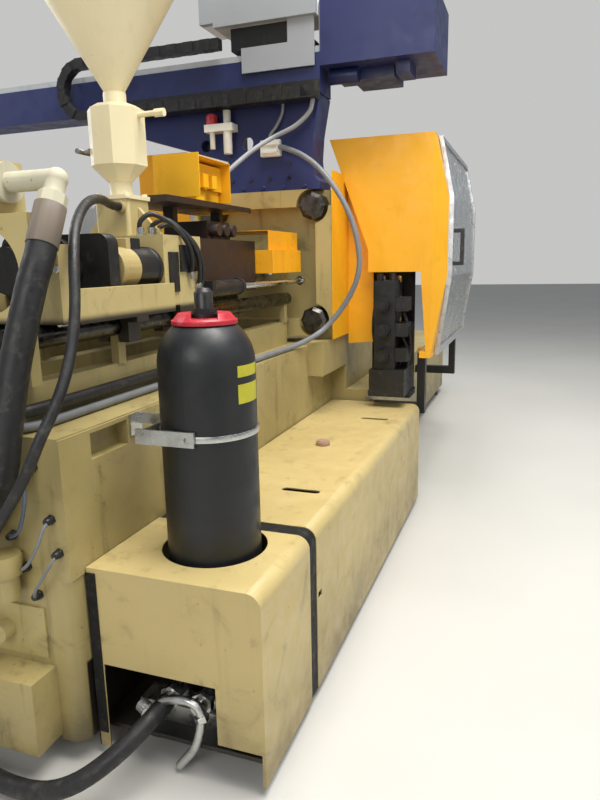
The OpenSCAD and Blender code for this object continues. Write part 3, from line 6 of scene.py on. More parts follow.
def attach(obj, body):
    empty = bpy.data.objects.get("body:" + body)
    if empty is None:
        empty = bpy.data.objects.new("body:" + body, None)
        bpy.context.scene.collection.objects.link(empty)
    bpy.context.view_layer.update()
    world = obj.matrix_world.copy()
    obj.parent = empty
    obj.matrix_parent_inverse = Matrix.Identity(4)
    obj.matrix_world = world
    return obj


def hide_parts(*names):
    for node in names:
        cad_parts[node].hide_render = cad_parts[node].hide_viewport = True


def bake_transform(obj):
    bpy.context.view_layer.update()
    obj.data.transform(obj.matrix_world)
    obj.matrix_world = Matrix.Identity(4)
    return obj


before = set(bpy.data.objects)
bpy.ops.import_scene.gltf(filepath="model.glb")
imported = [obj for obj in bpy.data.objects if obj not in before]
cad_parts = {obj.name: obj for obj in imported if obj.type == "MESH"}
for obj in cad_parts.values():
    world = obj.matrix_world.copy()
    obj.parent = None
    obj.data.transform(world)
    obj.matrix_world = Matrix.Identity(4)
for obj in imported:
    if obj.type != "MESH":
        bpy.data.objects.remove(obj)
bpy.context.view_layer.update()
scene = bpy.context.scene
scene.view_settings.view_transform = "Standard"
MM = 0.001

# ---------------------------------------------------------------- camera
yaw, pitch, roll = [math.radians(a) for a in (20.0, 11.855, 1.107)]
fwd = Vector((-math.cos(yaw) * math.cos(pitch), -math.sin(yaw) * math.cos(pitch), -math.sin(pitch)))
right = fwd.cross(Vector((0, 0, 1))).normalized()
down = fwd.cross(right)
img_x = right * math.cos(roll) + down * math.sin(roll)
img_y = down * math.cos(roll) - right * math.sin(roll)
cam = bpy.data.objects.new("camera", bpy.data.cameras.new("camera"))
scene.collection.objects.link(cam)
cam.data.lens, cam.data.sensor_width = 653 * 36 / 800, 36
cam.data.clip_end = 200
cam.matrix_world = Matrix.Translation((3.62, 1.236, 1.2)) @ Matrix((img_x, -img_y, -fwd)).transposed().to_4x4()
scene.camera = cam


# ---------------------------------------------------------------- materials
def lin(h):
    h = h.lstrip("#")
    c = [int(h[i:i + 2], 16) / 255 for i in (0, 2, 4)]
    return tuple(v / 12.92 if v <= 0.04045 else ((v + 0.055) / 1.055) ** 2.4 for v in c) + (1,)


class Graph:
    """A material's node tree, built a node at a time."""

    def __init__(self, name, **shader):
        self.m = bpy.data.materials.new(name)
        self.m.use_nodes = True
        self.t = self.m.node_tree
        self.t.nodes.clear()
        self.out = self.t.nodes.new("ShaderNodeOutputMaterial")
        self.p = self.t.nodes.new("ShaderNodeBsdfPrincipled")
        self.t.links.new(self.p.outputs[0], self.out.inputs[0])
        for k, v in shader.items():
            self.p.inputs[k.replace("_", " ")].default_value = v
        self.tc = self.t.nodes.new("ShaderNodeTexCoord")

    def link(self, a, b):
        self.t.links.new(a, b)

    def noise(self, scale, detail=4, rough=0.55, stretch=None, dist=0.0):
        n = self.t.nodes.new("ShaderNodeTexNoise")
        n.inputs["Scale"].default_value = scale
        n.inputs["Detail"].default_value = detail
        n.inputs["Roughness"].default_value = rough
        n.inputs["Distortion"].default_value = dist
        src = self.tc.outputs["Object"]
        if stretch:
            mp = self.t.nodes.new("ShaderNodeMapping")
            mp.inputs["Scale"].default_value = stretch
            self.link(src, mp.inputs[0])
            src = mp.outputs[0]
        self.link(src, n.inputs["Vector"])
        return n.outputs[0]

    def range(self, src, a, b, c=0.0, d=1.0):
        n = self.t.nodes.new("ShaderNodeMapRange")
        n.interpolation_type = "SMOOTHSTEP"
        for i, v in zip(("From Min", "From Max", "To Min", "To Max"), (a, b, c, d)):
            n.inputs[i].default_value = v
        self.link(src, n.inputs["Value"])
        return n.outputs[0]

    def math(self, op, a, b):
        n = self.t.nodes.new("ShaderNodeMath")
        n.operation = op
        for i, v in enumerate((a, b)):
            if isinstance(v, (int, float)):
                n.inputs[i].default_value = v
            else:
                self.link(v, n.inputs[i])
        return n.outputs[0]

    def mix(self, fac, a, b):
        n = self.t.nodes.new("ShaderNodeMix")
        n.data_type = "RGBA"
        ins = [n.inputs[0], n.inputs[6], n.inputs[7]]
        for s, v in zip(ins, (fac, a, b)):
            if isinstance(v, (int, float, tuple)):
                s.default_value = v
            else:
                self.link(v, s)
        return n.outputs[2]

    def zones(self, col, zones):
        """Another colour where every condition holds: (axis or direction, from, to), in metres."""
        for conditions, colour in zones:
            fac = 1.0
            for axis, a, b in conditions:
                if isinstance(axis, tuple):
                    n = self.t.nodes.new("ShaderNodeVectorMath")
                    n.operation = "DOT_PRODUCT"
                    n.inputs[1].default_value = axis
                    self.link(self.tc.outputs["Object"], n.inputs[0])
                    src = n.outputs["Value"]
                else:
                    src = self.height()[axis]
                fac = self.math("MULTIPLY", fac, self.range(src, min(a, b), max(a, b), *((0,
                    1) if a < b else (1, 0))))
            col = self.mix(fac, col, lin(colour))
        return col

    def height(self):
        n = self.t.nodes.new("ShaderNodeSeparateXYZ")
        self.link(self.tc.outputs["Object"], n.inputs[0])
        return n.outputs

    def bump(self, *layers):
        """Each layer: (height source, distance in metres, strength)."""
        prev = None
        for src, dist, strength in layers:
            n = self.t.nodes.new("ShaderNodeBump")
            n.inputs["Distance"].default_value = dist
            n.inputs["Strength"].default_value = strength
            self.link(src, n.inputs["Height"])
            if prev:
                self.link(prev, n.inputs["Normal"])
            prev = n.outputs[0]
        self.link(prev, self.p.inputs["Normal"])


def paint(name, base, dark, dirt="#2a2114", rough=0.42, var=0.6, grime=0.5, streaks=0.35, low=0.6, low_z=0.35,
          metal=0.0, peel=0.12, zones=()):
    g = Graph(name, Metallic=metal)
    col = g.mix(g.math("MULTIPLY", g.range(g.noise(1.7, 5, 0.6), 0.35, 0.72), var), lin(base), lin(dark))
    col = g.zones(col, zones)
    blot = g.range(g.noise(8.0, 8, 0.68, dist=0.6), 0.54, 0.74)
    col = g.mix(g.math("MULTIPLY", blot, grime), col, lin(dirt))
    run = g.range(g.noise(3.0, 6, 0.6, stretch=(7, 7, 0.7)), 0.56, 0.78)
    col = g.mix(g.math("MULTIPLY", run, streaks), col, lin(dirt))
    z = g.range(g.height()[2], 0.0, low_z, 1.0, 0.0)
    foot = g.math("MULTIPLY", z, g.range(g.noise(5.0, 7, 0.65), 0.3, 0.7, 0.25, 1.0))
    col = g.mix(g.math("MULTIPLY", foot, low), col, lin(dirt))
    speck = g.range(g.noise(60, 3, 0.5), 0.70, 0.76)
    col = g.mix(g.math("MULTIPLY", speck, grime), col, lin(dirt))
    g.link(col, g.p.inputs["Base Color"])
    g.link(g.range(g.noise(14, 6, 0.6), 0.3, 0.75, rough - 0.07, rough + 0.18), g.p.inputs["Roughness"])
    g.bump((g.noise(4.5, 2, 0.5), 0.004, 0.35), (g.noise(420, 2, 0.5), 0.0004, peel))
    return g.m


def metal(name, base, dark, rough=0.3, stain=0.4, brush=None, grain=900, scale=20):
    g = Graph(name, Metallic=1.0)
    col = g.mix(g.math("MULTIPLY", g.range(g.noise(scale, 7, 0.65), 0.45, 0.72), stain), lin(base), lin(dark))
    g.link(col, g.p.inputs["Base Color"])
    g.link(g.range(g.noise(scale * 1.8, 6, 0.6), 0.3, 0.7, max(0.05, rough - 0.1), rough + 0.16),
           g.p.inputs["Roughness"])
    g.bump((g.noise(grain, 2, 0.5, stretch=brush), 0.0002, 0.25))
    return g.m


def plastic(name, base, dark, rough=0.45, var=0.5, grain=700, depth=0.3, spec=0.5, dust="#8a8272", dusty=0.12):
    g = Graph(name, Specular_IOR_Level=spec)
    col = g.mix(g.math("MULTIPLY", g.range(g.noise(11, 6, 0.6), 0.4, 0.7), var), lin(base), lin(dark))
    col = g.mix(g.math("MULTIPLY", g.range(g.noise(30, 7, 0.7), 0.52, 0.72), dusty), col, lin(dust))
    g.link(col, g.p.inputs["Base Color"])
    g.link(g.range(g.noise(40, 5, 0.6), 0.3, 0.7, rough - 0.08, rough + 0.14), g.p.inputs["Roughness"])
    g.bump((g.noise(grain, 2, 0.5), 0.0003, depth))
    return g.m


def hose_rubber(name, base, dark, rough=0.5, pitch_scale=260, dusty=0.2):
    """Rubber hose: wrapped-cloth ribs and dust."""
    g = Graph(name)
    w = g.t.nodes.new("ShaderNodeTexWave")
    w.wave_type, w.bands_direction = "BANDS", "DIAGONAL"
    w.inputs["Scale"].default_value = pitch_scale
    w.inputs["Distortion"].default_value = 0.4
    g.link(g.tc.outputs["Object"], w.inputs["Vector"])
    col = g.mix(g.math("MULTIPLY", g.range(g.noise(16, 6, 0.6), 0.4, 0.7), 0.7), lin(base), lin(dark))
    col = g.mix(g.math("MULTIPLY", g.range(g.noise(28, 8, 0.7), 0.5, 0.72), dusty), col, lin("#7d7768"))
    g.link(col, g.p.inputs["Base Color"])
    g.link(g.range(g.noise(50, 5, 0.6), 0.3, 0.7, rough - 0.1, rough + 0.15), g.p.inputs["Roughness"])
    g.bump((w.outputs[0], 0.0005, 0.35), (g.noise(500, 2, 0.5), 0.0002, 0.3))
    return g.m


def clear(name, tint, rough=0.08):
    g = Graph(name, Transmission_Weight=0.82, IOR=1.45)
    col = g.mix(g.math("MULTIPLY", g.range(g.noise(7, 6, 0.6), 0.4, 0.75), 0.35), lin(tint), lin("#8f949a"))
    g.link(col, g.p.inputs["Base Color"])
    g.link(g.range(g.noise(18, 6, 0.6), 0.3, 0.7, rough, rough + 0.22), g.p.inputs["Roughness"])
    g.bump((g.noise(3, 2, 0.5), 0.003, 0.2))
    return g.m


M = {
    "cream": paint("cream_enamel", "#bfab74", "#a8955f", grime=0.36, streaks=0.28),
    "cream_unit": paint("cream_unit", "#c3b17b", "#aa9762", grime=0.42, streaks=0.3,
                        zones=[(((2, 1.09, 1.07),), "#2b251b")]),
    # Painted shade: near-black on the inner faces of the cut-out at the cover's lower end (X 2.22 to 2.448 m, below
    # 0.235 m), standing in for the shade inside that opening
    "cream_cover": paint("cream_cover", "#bfab74", "#a8955f", grime=0.36, streaks=0.28,
                         zones=[(((0, 2.4488, 2.4480), (0, 2.2, 2.22), (1, 0.706, 0.705), (2, 0.24, 0.235)),
                                 "#171512")]),
    # Painted shade: two near-black zones on the base frame, under the rear guard's opening (X below 0.45 m) and
    # inside the front cover's cut-out (X above 2.02 m, below 0.26 m), standing in for the shade in those openings
    "cream_base": paint("cream_base", "#ab9b68", "#8b7c4c", grime=0.5, streaks=0.5, low=0.75,
                        zones=[(((1, 0.445, 0.449), (0, 0.455, 0.45)), "#1b1a18"),
                               (((1, 0.2545, 0.2555), (0, 2.0, 2.02), (2, 0.27, 0.26)), "#141310")]),
    "yellow_guard": paint("yellow_guard", "#f2b01c", "#e09c12", dirt="#4a3410", grime=0.14, streaks=0.16, low=0.2,
                          zones=[(((2, 0.7452, 0.7442),), "#1c1a17")]),
    "robot_white": paint("robot_white", "#f4f4f1", "#e8e8e4", dirt="#77756e", grime=0.08, streaks=0.08, low=0.0,
                         zones=[(((2, 2.230, 2.226),), "#1a1b1d"), (((0, 0.7246, 0.7254),), "#94979b")]),
    "robot_navy": paint("robot_navy", "#202858", "#171d44", dirt="#0b0d18", grime=0.3, streaks=0.2, low=0.0,
                        zones=[(((2, 2.084, 2.088), (1, 0.305, 0.295)), "#a6a9ad")]),
    "elbow_cast": paint("elbow_cast", "#c9c3ab", "#aaa48c", dirt="#4d483c", grime=0.45, streaks=0.3, low=0.0,
                        rough=0.5,
                        peel=0.5, zones=[((((0.4226, 0.0, -0.9063), -0.1975, -0.1965),), "#73685b")]),
    "ram_paint": paint("ram_paint", "#1b1a19", "#121211", dirt="#3a3730", grime=0.3, streaks=0.2, low=0.0,
                       zones=[(((0, 2.0, 2.001),), "#b3a06c")]),
    "cream_bed": paint("cream_enamel_oily", "#b3a26c", "#94834f", grime=0.5, streaks=0.5, low=0.75),
    "cream_hopper": paint("cream_hopper", "#ecdfb8", "#dfd0a2", grime=0.10, streaks=0.10, low=0.0, rough=0.36),
    "yellow": paint("yellow_enamel", "#f6ad12", "#e89a0c", dirt="#4a3410", grime=0.14, streaks=0.16, low=0.2),
    "yellow_hood": paint("yellow_hood", "#fbc01c", "#f0ab10", dirt="#4a3410", grime=0.16, streaks=0.12, low=0.0),
    # Worn, dirty yellow for the nozzle guard; its orange-brown dark tone, mixed in by noise, is painted shade of the
    # shaded yellow sheet
    "yellow_worn_shaded": paint("yellow_worn_shaded", "#f0a814", "#b87214", dirt="#3a2610", grime=0.55, streaks=0.4, low=0.0),
    "blue": paint("navy_enamel", "#232c63", "#1a2250", dirt="#0c0e1c", grime=0.3, streaks=0.2, low=0.0, rough=0.38),
    "bottle": paint("charcoal_enamel", "#17191b", "#101214", dirt="#2e2d2a", grime=0.22, streaks=0.25, low=0.0,
                    rough=0.40, peel=0.25),
    "black": plastic("black_satin", "#141416", "#1e1d1c", rough=0.42),
    "black_plastic": plastic("black_plastic", "#18181a", "#232224", rough=0.36),
    "gasket": plastic("gasket_rubber", "#0f0f10", "#1a1918", rough=0.62, spec=0.3),
    "red": plastic("red_plastic", "#b5202f", "#9a1a27", rough=0.40, dust="#d98f98", dusty=0.35),
    "cap": plastic("cap_plastic", "#a88872", "#8a6c58", rough=0.5),
    "steel": metal("bare_steel", "#a9a9a6", "#5d5a54", rough=0.34, stain=0.6),
    "steel_dark": metal("oily_steel", "#5a5855", "#1c1a18", rough=0.36, stain=0.85),
    "zinc": metal("zinc_plate", "#c4c5c2", "#84827c", rough=0.3, stain=0.4),
    "chrome": metal("hard_chrome", "#d4d6d8", "#9a9a9a", rough=0.14, stain=0.25, grain=400),
    "oily_bar": metal("oily_bar", "#4a4844", "#14130f", rough=0.26, stain=0.9),
    "alu": metal("aluminium", "#c9cbcc", "#97999b", rough=0.34, stain=0.3, brush=(1, 30, 30)),
    "brass": metal("brass", "#b08a4a", "#6d522a", rough=0.34, stain=0.5),
    "brown": paint("brown_enamel", "#2a1c17", "#1d1411", dirt="#0c0908", grime=0.5, streaks=0.3, low=0.0,
                   rough=0.45),
    "grey": paint("grey_enamel", "#8b8d90", "#75777a", dirt="#2b2b2b", grime=0.25, streaks=0.2, low=0.0),
    "white_plastic": plastic("white_plastic", "#e6e4dc", "#cfcdc4", rough=0.4),
    "clear": clear("clear_panel", "#dfe3e6"),
    "hose": hose_rubber("hose_rubber", "#121214", "#1d1c1c", rough=0.46),
    "cable": plastic("cable_black", "#131315", "#1c1c1e", rough=0.4, dusty=0.2),
    "cable_grey": plastic("cable_grey", "#77797c", "#606266", rough=0.45, dusty=0.15),
    "cable_blue": plastic("cable_blue_grey", "#5a6578", "#465062", rough=0.42),
    "conduit": plastic("conduit_grey", "#8d8f92", "#6e7073", rough=0.5),
    "sticker": plastic("plain_sticker", "#b9b32c", "#9d9820", rough=0.55),
}

NODE_LOOK = {
    "base_frame": "cream_base", "levelling_feet": "steel_dark", "junction_box": "cream_bed",
    "motor_elbow": "elbow_cast",
    "tank_cover_front": "cream_cover", "tank_cover_rear": "cream", "cover_gasket": "gasket", "filler_cap": "cap",
    "accumulator_shell": "bottle", "accumulator_ring": "red", "accumulator_valve": "black_plastic",
    "accumulator_clamp": "zinc", "return_fittings": "zinc", "fixed_platen": "cream_bed", "tie_bars": "steel",
    "tie_bar_nuts": "steel_dark", "moving_platen": "cream_bed", "cylinder_platen": "cream_bed",
    "clamp_ram": "chrome",
    "ejector": "steel", "bed_ways": "oily_bar", "core_pull_manifold": "black", "rear_guard": "yellow_guard",
    "rear_gate": "alu", "rear_gate_window": "clear", "rear_gate_handle": "black_plastic", "front_guard": "yellow",
    "front_gate": "yellow", "front_gate_window": "clear", "injection_carriage": "cream_unit",
    "carriage_cylinders": "black",
    "carriage_rods": "chrome", "injection_cylinders": "ram_paint", "injection_rods": "chrome", "crosshead": "black",
    "screw_motor": "black", "screw": "steel", "barrel": "steel_dark", "heater_bands": "steel",
    "barrel_guard": "brown",
    "nozzle_guard": "yellow_worn_shaded", "hopper_housing": "cream_hopper", "hopper_slide": "steel",
    "hopper": "cream_hopper", "hopper_lid": "cream_hopper", "terminal_hood": "yellow_hood", "control_panel": "grey",
    "emergency_stop": "red", "robot_pedestal": "blue", "robot_beam": "robot_navy", "robot_carriage": "robot_white",
    "robot_column": "alu", "cable_chain": "black", "air_unit": "white_plastic", "air_knob": "red",
    "main_hose": "hose", "carriage_hose": "hose", "robot_cable": "cable", "bed_hose": "hose", "return_hose": "hose",
}
SHARP = {"tie_bars", "tie_bar_nuts", "screw", "cable_chain", "core_pull_manifold", "main_hose", "carriage_hose",
         "robot_cable", "bed_hose", "return_hose", "air_knob", "hopper", "accumulator_shell", "rear_gate_window",
         "front_gate_window", "rear_guard", "front_guard", "rear_gate", "front_gate"}
for name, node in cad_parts.items():
    for s in node.material_slots:
        s.material = M[NODE_LOOK[name]]
    if name not in SHARP:
        w = node.modifiers.new("weld", "WELD")
        w.merge_threshold = 0.00002
        b = node.modifiers.new("bevel", "BEVEL")
        b.width, b.segments, b.limit_method, b.angle_limit = 0.0022, 2, "ANGLE", math.radians(40)
        b.use_clamp_overlap, b.harden_normals = True, True


# ---------------------------------------------------------------- mesh building, in millimetres
class Shape:
    """Gathers solids in one mesh. Every call takes millimetres in the machine's frame."""

    def __init__(self):
        self.bm = bmesh.new()

    def _ring(self, centre, u, v, r, n, squash=1.0, turn=0.0):
        return [self.bm.verts.new((centre + u * (r * math.cos(turn + 2 * math.pi * i / n))
                                   + v * (r * squash * math.sin(turn + 2 * math.pi * i / n))) * MM) for i in range(n)]

    def _skin(self, rings, closed=True, caps=True):
        n = len(rings[0])
        for a, b in zip(rings, rings[1:]):
            for i in range(n):
                j = (i + 1) % n
                self.bm.faces.new((a[i], a[j], b[j], b[i]))
        if caps:
            self.bm.faces.new(list(reversed(rings[0])))
            self.bm.faces.new(rings[-1])
        return self

    def lathe(self, p, axis, profile, n=24, turn=0.0):
        """A turned piece: profile is a list of (distance along the axis, radius)."""
        p, w = Vector(p), Vector(axis).normalized()
        u = w.orthogonal().normalized()
        if abs(w.z) > 0.9:
            u = (Vector((1, 0, 0)) - w * w.x).normalized()
        v = w.cross(u)
        return self._skin([self._ring(p + w * d, u, v, max(r, 0.05), n, turn=turn) for d, r in profile])

    def rod(self, a, b, r, n=16, end=0.0):
        a, b = Vector(a), Vector(b)
        length = (b - a).length
        e = end or min(r * 0.15, length * 0.1)
        return self.lathe(a, b - a, [(0, r - e), (e, r), (length - e, r), (length, r - e)], n)

    def box(self, lo, hi, c=1.0):
        """A block with chamfered edges."""
        lo, hi = [Vector([f(a, b) for a, b in zip(lo, hi)]) for f in (min, max)]
        c = min(c, *[(h - l) * 0.3 for l, h in zip(lo, hi)])
        bm = bmesh.new()
        bmesh.ops.create_cube(bm, size=1)
        for q in bm.verts:
            q.co = Vector([l + (h - l) * (t + 0.5) for l, h, t in zip(lo, hi, q.co)]) * MM
        bmesh.ops.bevel(bm, geom=list(bm.edges), offset=c * MM, segments=2, affect="EDGES", profile=0.6)
        return self._take(bm)

    def plate(self, outline, axis, a, b, c=0.6):
        """An extruded outline. axis 0, 1 or 2; outline points are the other two coordinates in order."""
        bm = bmesh.new()
        def at(q, w):
            q = list(q)
            q.insert(axis, w)
            return Vector(q) * MM
        low = [bm.verts.new(at(q, a)) for q in outline]
        top = [bm.verts.new(at(q, b)) for q in outline]
        n = len(outline)
        bm.faces.new(low)
        bm.faces.new(list(reversed(top)))
        for i in range(n):
            bm.faces.new((low[i], top[i], top[(i + 1) % n], low[(i + 1) % n]))
        bmesh.ops.recalc_face_normals(bm, faces=bm.faces)
        if c:
            bmesh.ops.bevel(bm, geom=list(bm.edges), offset=c * MM, segments=1, affect="EDGES")
        return self._take(bm)

    def _take(self, bm):
        me = bpy.data.meshes.new("part")
        bm.to_mesh(me)
        bm.free()
        self.bm.from_mesh(me)
        bpy.data.meshes.remove(me)
        return self

    def tube(self, pts, r, n=12, step=None, smooth=True, rib=None):
        """A round tube along points, with an optional rib (pitch, depth)."""
        line = curve_through(pts, step or max(r * 0.7, 2)) if smooth else [Vector(p) for p in pts]
        if rib:
            line = even(line, rib[0] / 4)
        t0 = (line[1] - line[0]).normalized()
        u = t0.orthogonal().normalized()
        rings = []
        for i, p in enumerate(line):
            t = (line[min(i + 1, len(line) - 1)] - line[max(i - 1, 0)]).normalized()
            u = (u - t * u.dot(t)).normalized()
            rr = r - (rib[1] * (0, 0.55, 1, 0.55)[i % 4] if rib else 0)
            rings.append(self._ring(p, u, t.cross(u), rr, n))
        return self._skin(rings)

    def screw(self, p, axis, r=4.0, h=4.0, socket=True):
        """A cap screw with a recessed hexagon."""
        prof = [(-0.5, r), (h * 0.85, r), (h, r * 0.88)]
        if socket:
            prof += [(h, r * 0.52), (h * 0.45, r * 0.5)]
        return self.lathe(p, axis, prof, 14)

    def hexagon(self, p, axis, r, h, hole=0.0):
        """A hexagonal nut or bolt head with chamfered corners."""
        prof = [(0, r * 0.9), (h * 0.12, r), (h * 0.85, r), (h, r * 0.87)]
        self.lathe(p, axis, prof, 6)
        if hole:
            q = Vector(p) + Vector(axis).normalized() * h
            self.lathe(q, axis, [(-0.2, hole), (h * 0.5, hole), (h * 0.6, hole * 0.8)], 14)
        return self

    def gland(self, p, axis, r, h):
        """A cable gland: hexagon, domed nut, and ring."""
        w = Vector(axis).normalized()
        self.hexagon(p, axis, r * 1.5, h * 0.35)
        return self.lathe(Vector(p) + w * h * 0.34, axis,
                          [(0, r * 1.28), (h * 0.3, r * 1.28), (h * 0.5, r * 1.12), (h * 0.66, r * 0.98)], 20)

    def fitting(self, p, axis, r, h):
        """A hydraulic hose end: nut, collar, and crimped ferrule."""
        w = Vector(axis).normalized()
        self.hexagon(p, axis, r * 1.55, h * 0.3)
        self.lathe(Vector(p) + w * h * 0.3, axis, [(0, r * 1.1), (h * 0.1, r * 1.1)], 18)
        prof = []
        for i in range(6):
            a = 0.4 + 0.1 * i
            prof += [(h * a, r * 1.34), (h * (a + 0.05), r * 1.34), (h * (a + 0.06), r * 1.24), (h * (a + 0.09),
                r * 1.24)]
        return self.lathe(p, axis, prof, 20)

    def done(self, name, body, look, slot=None, bevel=0.0, flat=False):
        bmesh.ops.recalc_face_normals(self.bm, faces=self.bm.faces)
        me = bpy.data.meshes.new(name)
        self.bm.to_mesh(me)
        self.bm.free()
        o = bpy.data.objects.new(name, me)
        scene.collection.objects.link(o)
        me.materials.append(M[look])
        if not flat:
            me.shade_smooth()
            me.set_sharp_from_angle(angle=math.radians(38))
        if bevel:
            b = o.modifiers.new("bevel", "BEVEL")
            b.width, b.segments, b.limit_method, b.angle_limit = bevel * MM, 2, "ANGLE", math.radians(40)
        if body:
            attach(o, body)
        return o


def curve_through(pts, step):
    """Points along a smooth curve through pts."""
    p = [Vector(q) for q in pts]
    p = [p[0] * 2 - p[1]] + p + [p[-1] * 2 - p[-2]]
    out = []
    for i in range(1, len(p) - 2):
        a, b, c, d = p[i - 1:i + 3]
        n = max(2, int((c - b).length / step))
        for k in range(n):
            t = k / n
            out.append(0.5 * ((2 * b) + (c - a) * t + (2 * a - 5 * b + 4 * c - d) * t * t
                              + (3 * b - a - 3 * c + d) * t ** 3))
    return out + [p[-2]]


def even(line, step):
    """The same line with its points at an even distance."""
    out, left = [line[0]], step
    for a, b in zip(line, line[1:]):
        seg = (b - a).length
        while seg >= left > 0:
            a = a + (b - a) * (left / seg)
            out.append(a)
            seg = (b - a).length
            left = step
        left -= seg
    return out


def cord(name, pts, d, body, look, node=None, to=None, n=12, rib=None, step=None):
    """A hose or cable on the route pts (millimetres)."""
    s = Shape()
    s.tube(pts, d / 2, n, step or max(d * 0.45, 3), rib=rib)
    o = s.done(name, None if to else body, look)
    if node:
        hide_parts(node)
    if to:
        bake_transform(o)
    return o


# ---------------------------------------------------------------- hoses and cables that the model carries
main_route = [(2433.6, 212, 1246.9), (2449.7, 212, 1212.4), (2467, 206, 1170), (2492, 195, 1089),
              (2516, 184, 1004), (2537, 175, 913), (2552, 166, 831.5), (2555, 158, 785), (2556, 142, 741),
              (2556, 118.4, 700.2), (2556, 88.1, 664.1), (2556, 74, 650)]
carriage_route = [(1883, 36, 1376), (1905, 36, 1376), (1945, 45, 1380), (1990, 64, 1383), (2045, 87, 1382),
                  (2100, 112, 1376), (2160, 140, 1365), (2220, 168, 1347), (2280, 197, 1320),
                  (2330, 222, 1286), (2368, 244, 1244), (2393, 259, 1198), (2412, 271, 1148),
                  (2434, 282, 1094), (2458, 288, 1036), (2492, 293, 976), (2532, 292, 916), (2572, 278, 850),
                  (2590, 250, 780), (2594, 206, 714), (2594, 158, 652), (2582, 108, 600), (2566, 62, 562),
                  (2547.6, 26, 534), (2536, 10, 508.4), (2536, 10, 486.6)]
robot_route = [(2526, -100, 668), (2526, -100, 690), (2530, -99, 722), (2540, -92, 758), (2553, -76, 790),
               (2566, -50, 815), (2574, -18, 832), (2575, 18, 843), (2567, 54, 849), (2551, 88, 851),
               (2529, 116, 850), (2503, 138, 848), (2475, 153, 845), (2445, 160, 843), (2400, 162, 842.6),
               (2200, 162, 842.6), (2000, 162, 842.6), (1850, 164, 842.6), (1760, 190, 842.6),
               (1690, 216, 842.6), (1600, 228, 842.6), (1400, 232, 842.6), (1200, 238, 842.8),
               (1060, 242, 843.4), (960, 258, 850), (880, 292, 870), (820, 336, 905), (792, 388, 965),
               (782, 440, 1040), (780, 478, 1120), (780, 492, 1200), (780, 482, 1290), (779, 456, 1380),
               (778, 412, 1470), (775, 356, 1550), (768, 292, 1618), (758, 224, 1666), (744, 160, 1695),
               (730, 118, 1710), (718, 110, 1712), (702, 110, 1712)]
bed_route = [(2530, -46, 724), (2530, -46, 744), (2531, -42, 782), (2534, -28, 822), (2538, -4, 856),
             (2538, 28, 876), (2534, 62, 884), (2523, 96, 884), (2505, 126, 882), (2481, 148, 880),
             (2450, 158, 880), (2400, 159, 880), (2300, 159, 880), (2150, 159, 880), (2000, 159, 880),
             (1850, 159, 880), (1760, 159, 880), (1705.5, 159, 880)]
return_route = [(2420.3, 440, 165), (2444, 440, 165), (2490, 434, 160), (2540, 414, 140), (2584, 376, 108),
                (2614, 326, 74), (2628, 268, 46), (2632, 205, 30), (2630, 140, 25), (2622, 75, 25),
                (2612, 10, 29), (2598, -50, 51), (2584, -98, 92), (2573, -126, 142), (2566, -136, 188),
                (2566, -136, 206), (2566, -136, 225.7)]
cord("main_hose_skin", main_route, 66, "injection_carriage", "hose", node="main_hose", n=28,
     to=("base", (2434, 212, 1246), (2556, 84, 660)))
cord("carriage_hose_skin", carriage_route, 25, "injection_carriage", "hose", node="carriage_hose", n=16,
     to=("base", (1911, 38, 1378), (2536, 12, 500)))
cord("robot_cable_skin", robot_route, 24, "base", "cable_grey", node="robot_cable", n=14)
cord("bed_hose_skin", bed_route, 30, "base", "hose", node="bed_hose", n=16)
cord("return_hose_skin", return_route, 44, "base", "hose", node="return_hose", n=20)


# ---------------------------------------------------------------- detail
cord("valve_conduit", [(757, 280, 1891), (757, 262, 1840), (770, 200, 1785), (800, 103, 1738), (900, 45, 1672),
                       (1030, -20, 1570), (1110, -58, 1500), (1152, -72, 1470)], 20, "base", "conduit",
     to=("injection_carriage", (765, 220, 1800), (1130, -65, 1485)), n=14)
cord("sensor_conduit", [(722, 128, 1891), (722, 122, 1850), (720, 92, 1800), (716, 61, 1768), (716, 61, 1744)], 13,
     "base", "conduit", n=10)
s = Shape().box((699, 13, 1675), (726, 109, 1746), 4)
s.box((725, 24, 1688), (734, 98, 1700), 2).box((725, 24, 1722), (734, 98, 1734), 2)
s.done("connector", "base", "white_plastic")
s = Shape()
for y in (-141, -48, 47, 141):
    s.screw((699.5, y, 1579), (1, 0, 0), 8, 8)
for y in (-146, 146):
    for z in (1640, 1690):
        s.screw((699.5, y, z), (1, 0, 0), 6, 6)
s.done("pedestal_screws", "base", "steel_dark")
# Plain stickers around the bottle
cx, cy, r = 2241.0, 498.0, 117.0
for i, (za, zb) in enumerate(((885, 930), (947, 973))):
    s = Shape()
    arc = [math.radians(a) for a in range(64, 105, 4)]
    out = [(cx + (r + 0.7) * math.cos(a), cy + (r + 0.7) * math.sin(a)) for a in arc]
    s.plate(out + [(cx + (r - 2) * math.cos(a), cy + (r - 2) * math.sin(a)) for a in reversed(arc)], 2, za, zb, 0)
    s.done("sticker_%d" % i, "base", "sticker")
# Bolt heads on the injection unit's end plate
s = Shape()
for y in (196, 222):
    s.hexagon((2389, y - 12, 1196), (1, 0, 0), 9, 8)
for y, z in ((-150, 1225), (150, 1225), (-110, 1090), (110, 1090)):
    s.hexagon((2389.5, y, z), (1, 0, 0), 11, 9)
s.done("end_plate_bolts", "injection_carriage", "zinc")


# Dark backing, hoses and fittings of the valve stack in the guard's opening: the black sheets behind and beside the
# stack are painted shade standing in for the dark space beyond the opening, and the boxes at X 420 to 440 mm are
# black valve bodies
# Painted shade: black sheet at the back of the opening
s = Shape().box((300, 436, 560), (306, 655, 1236), 1)
s.box((420, 470, 560), (432, 560, 720), 2).box((420, 600, 560), (440, 650, 690), 2)
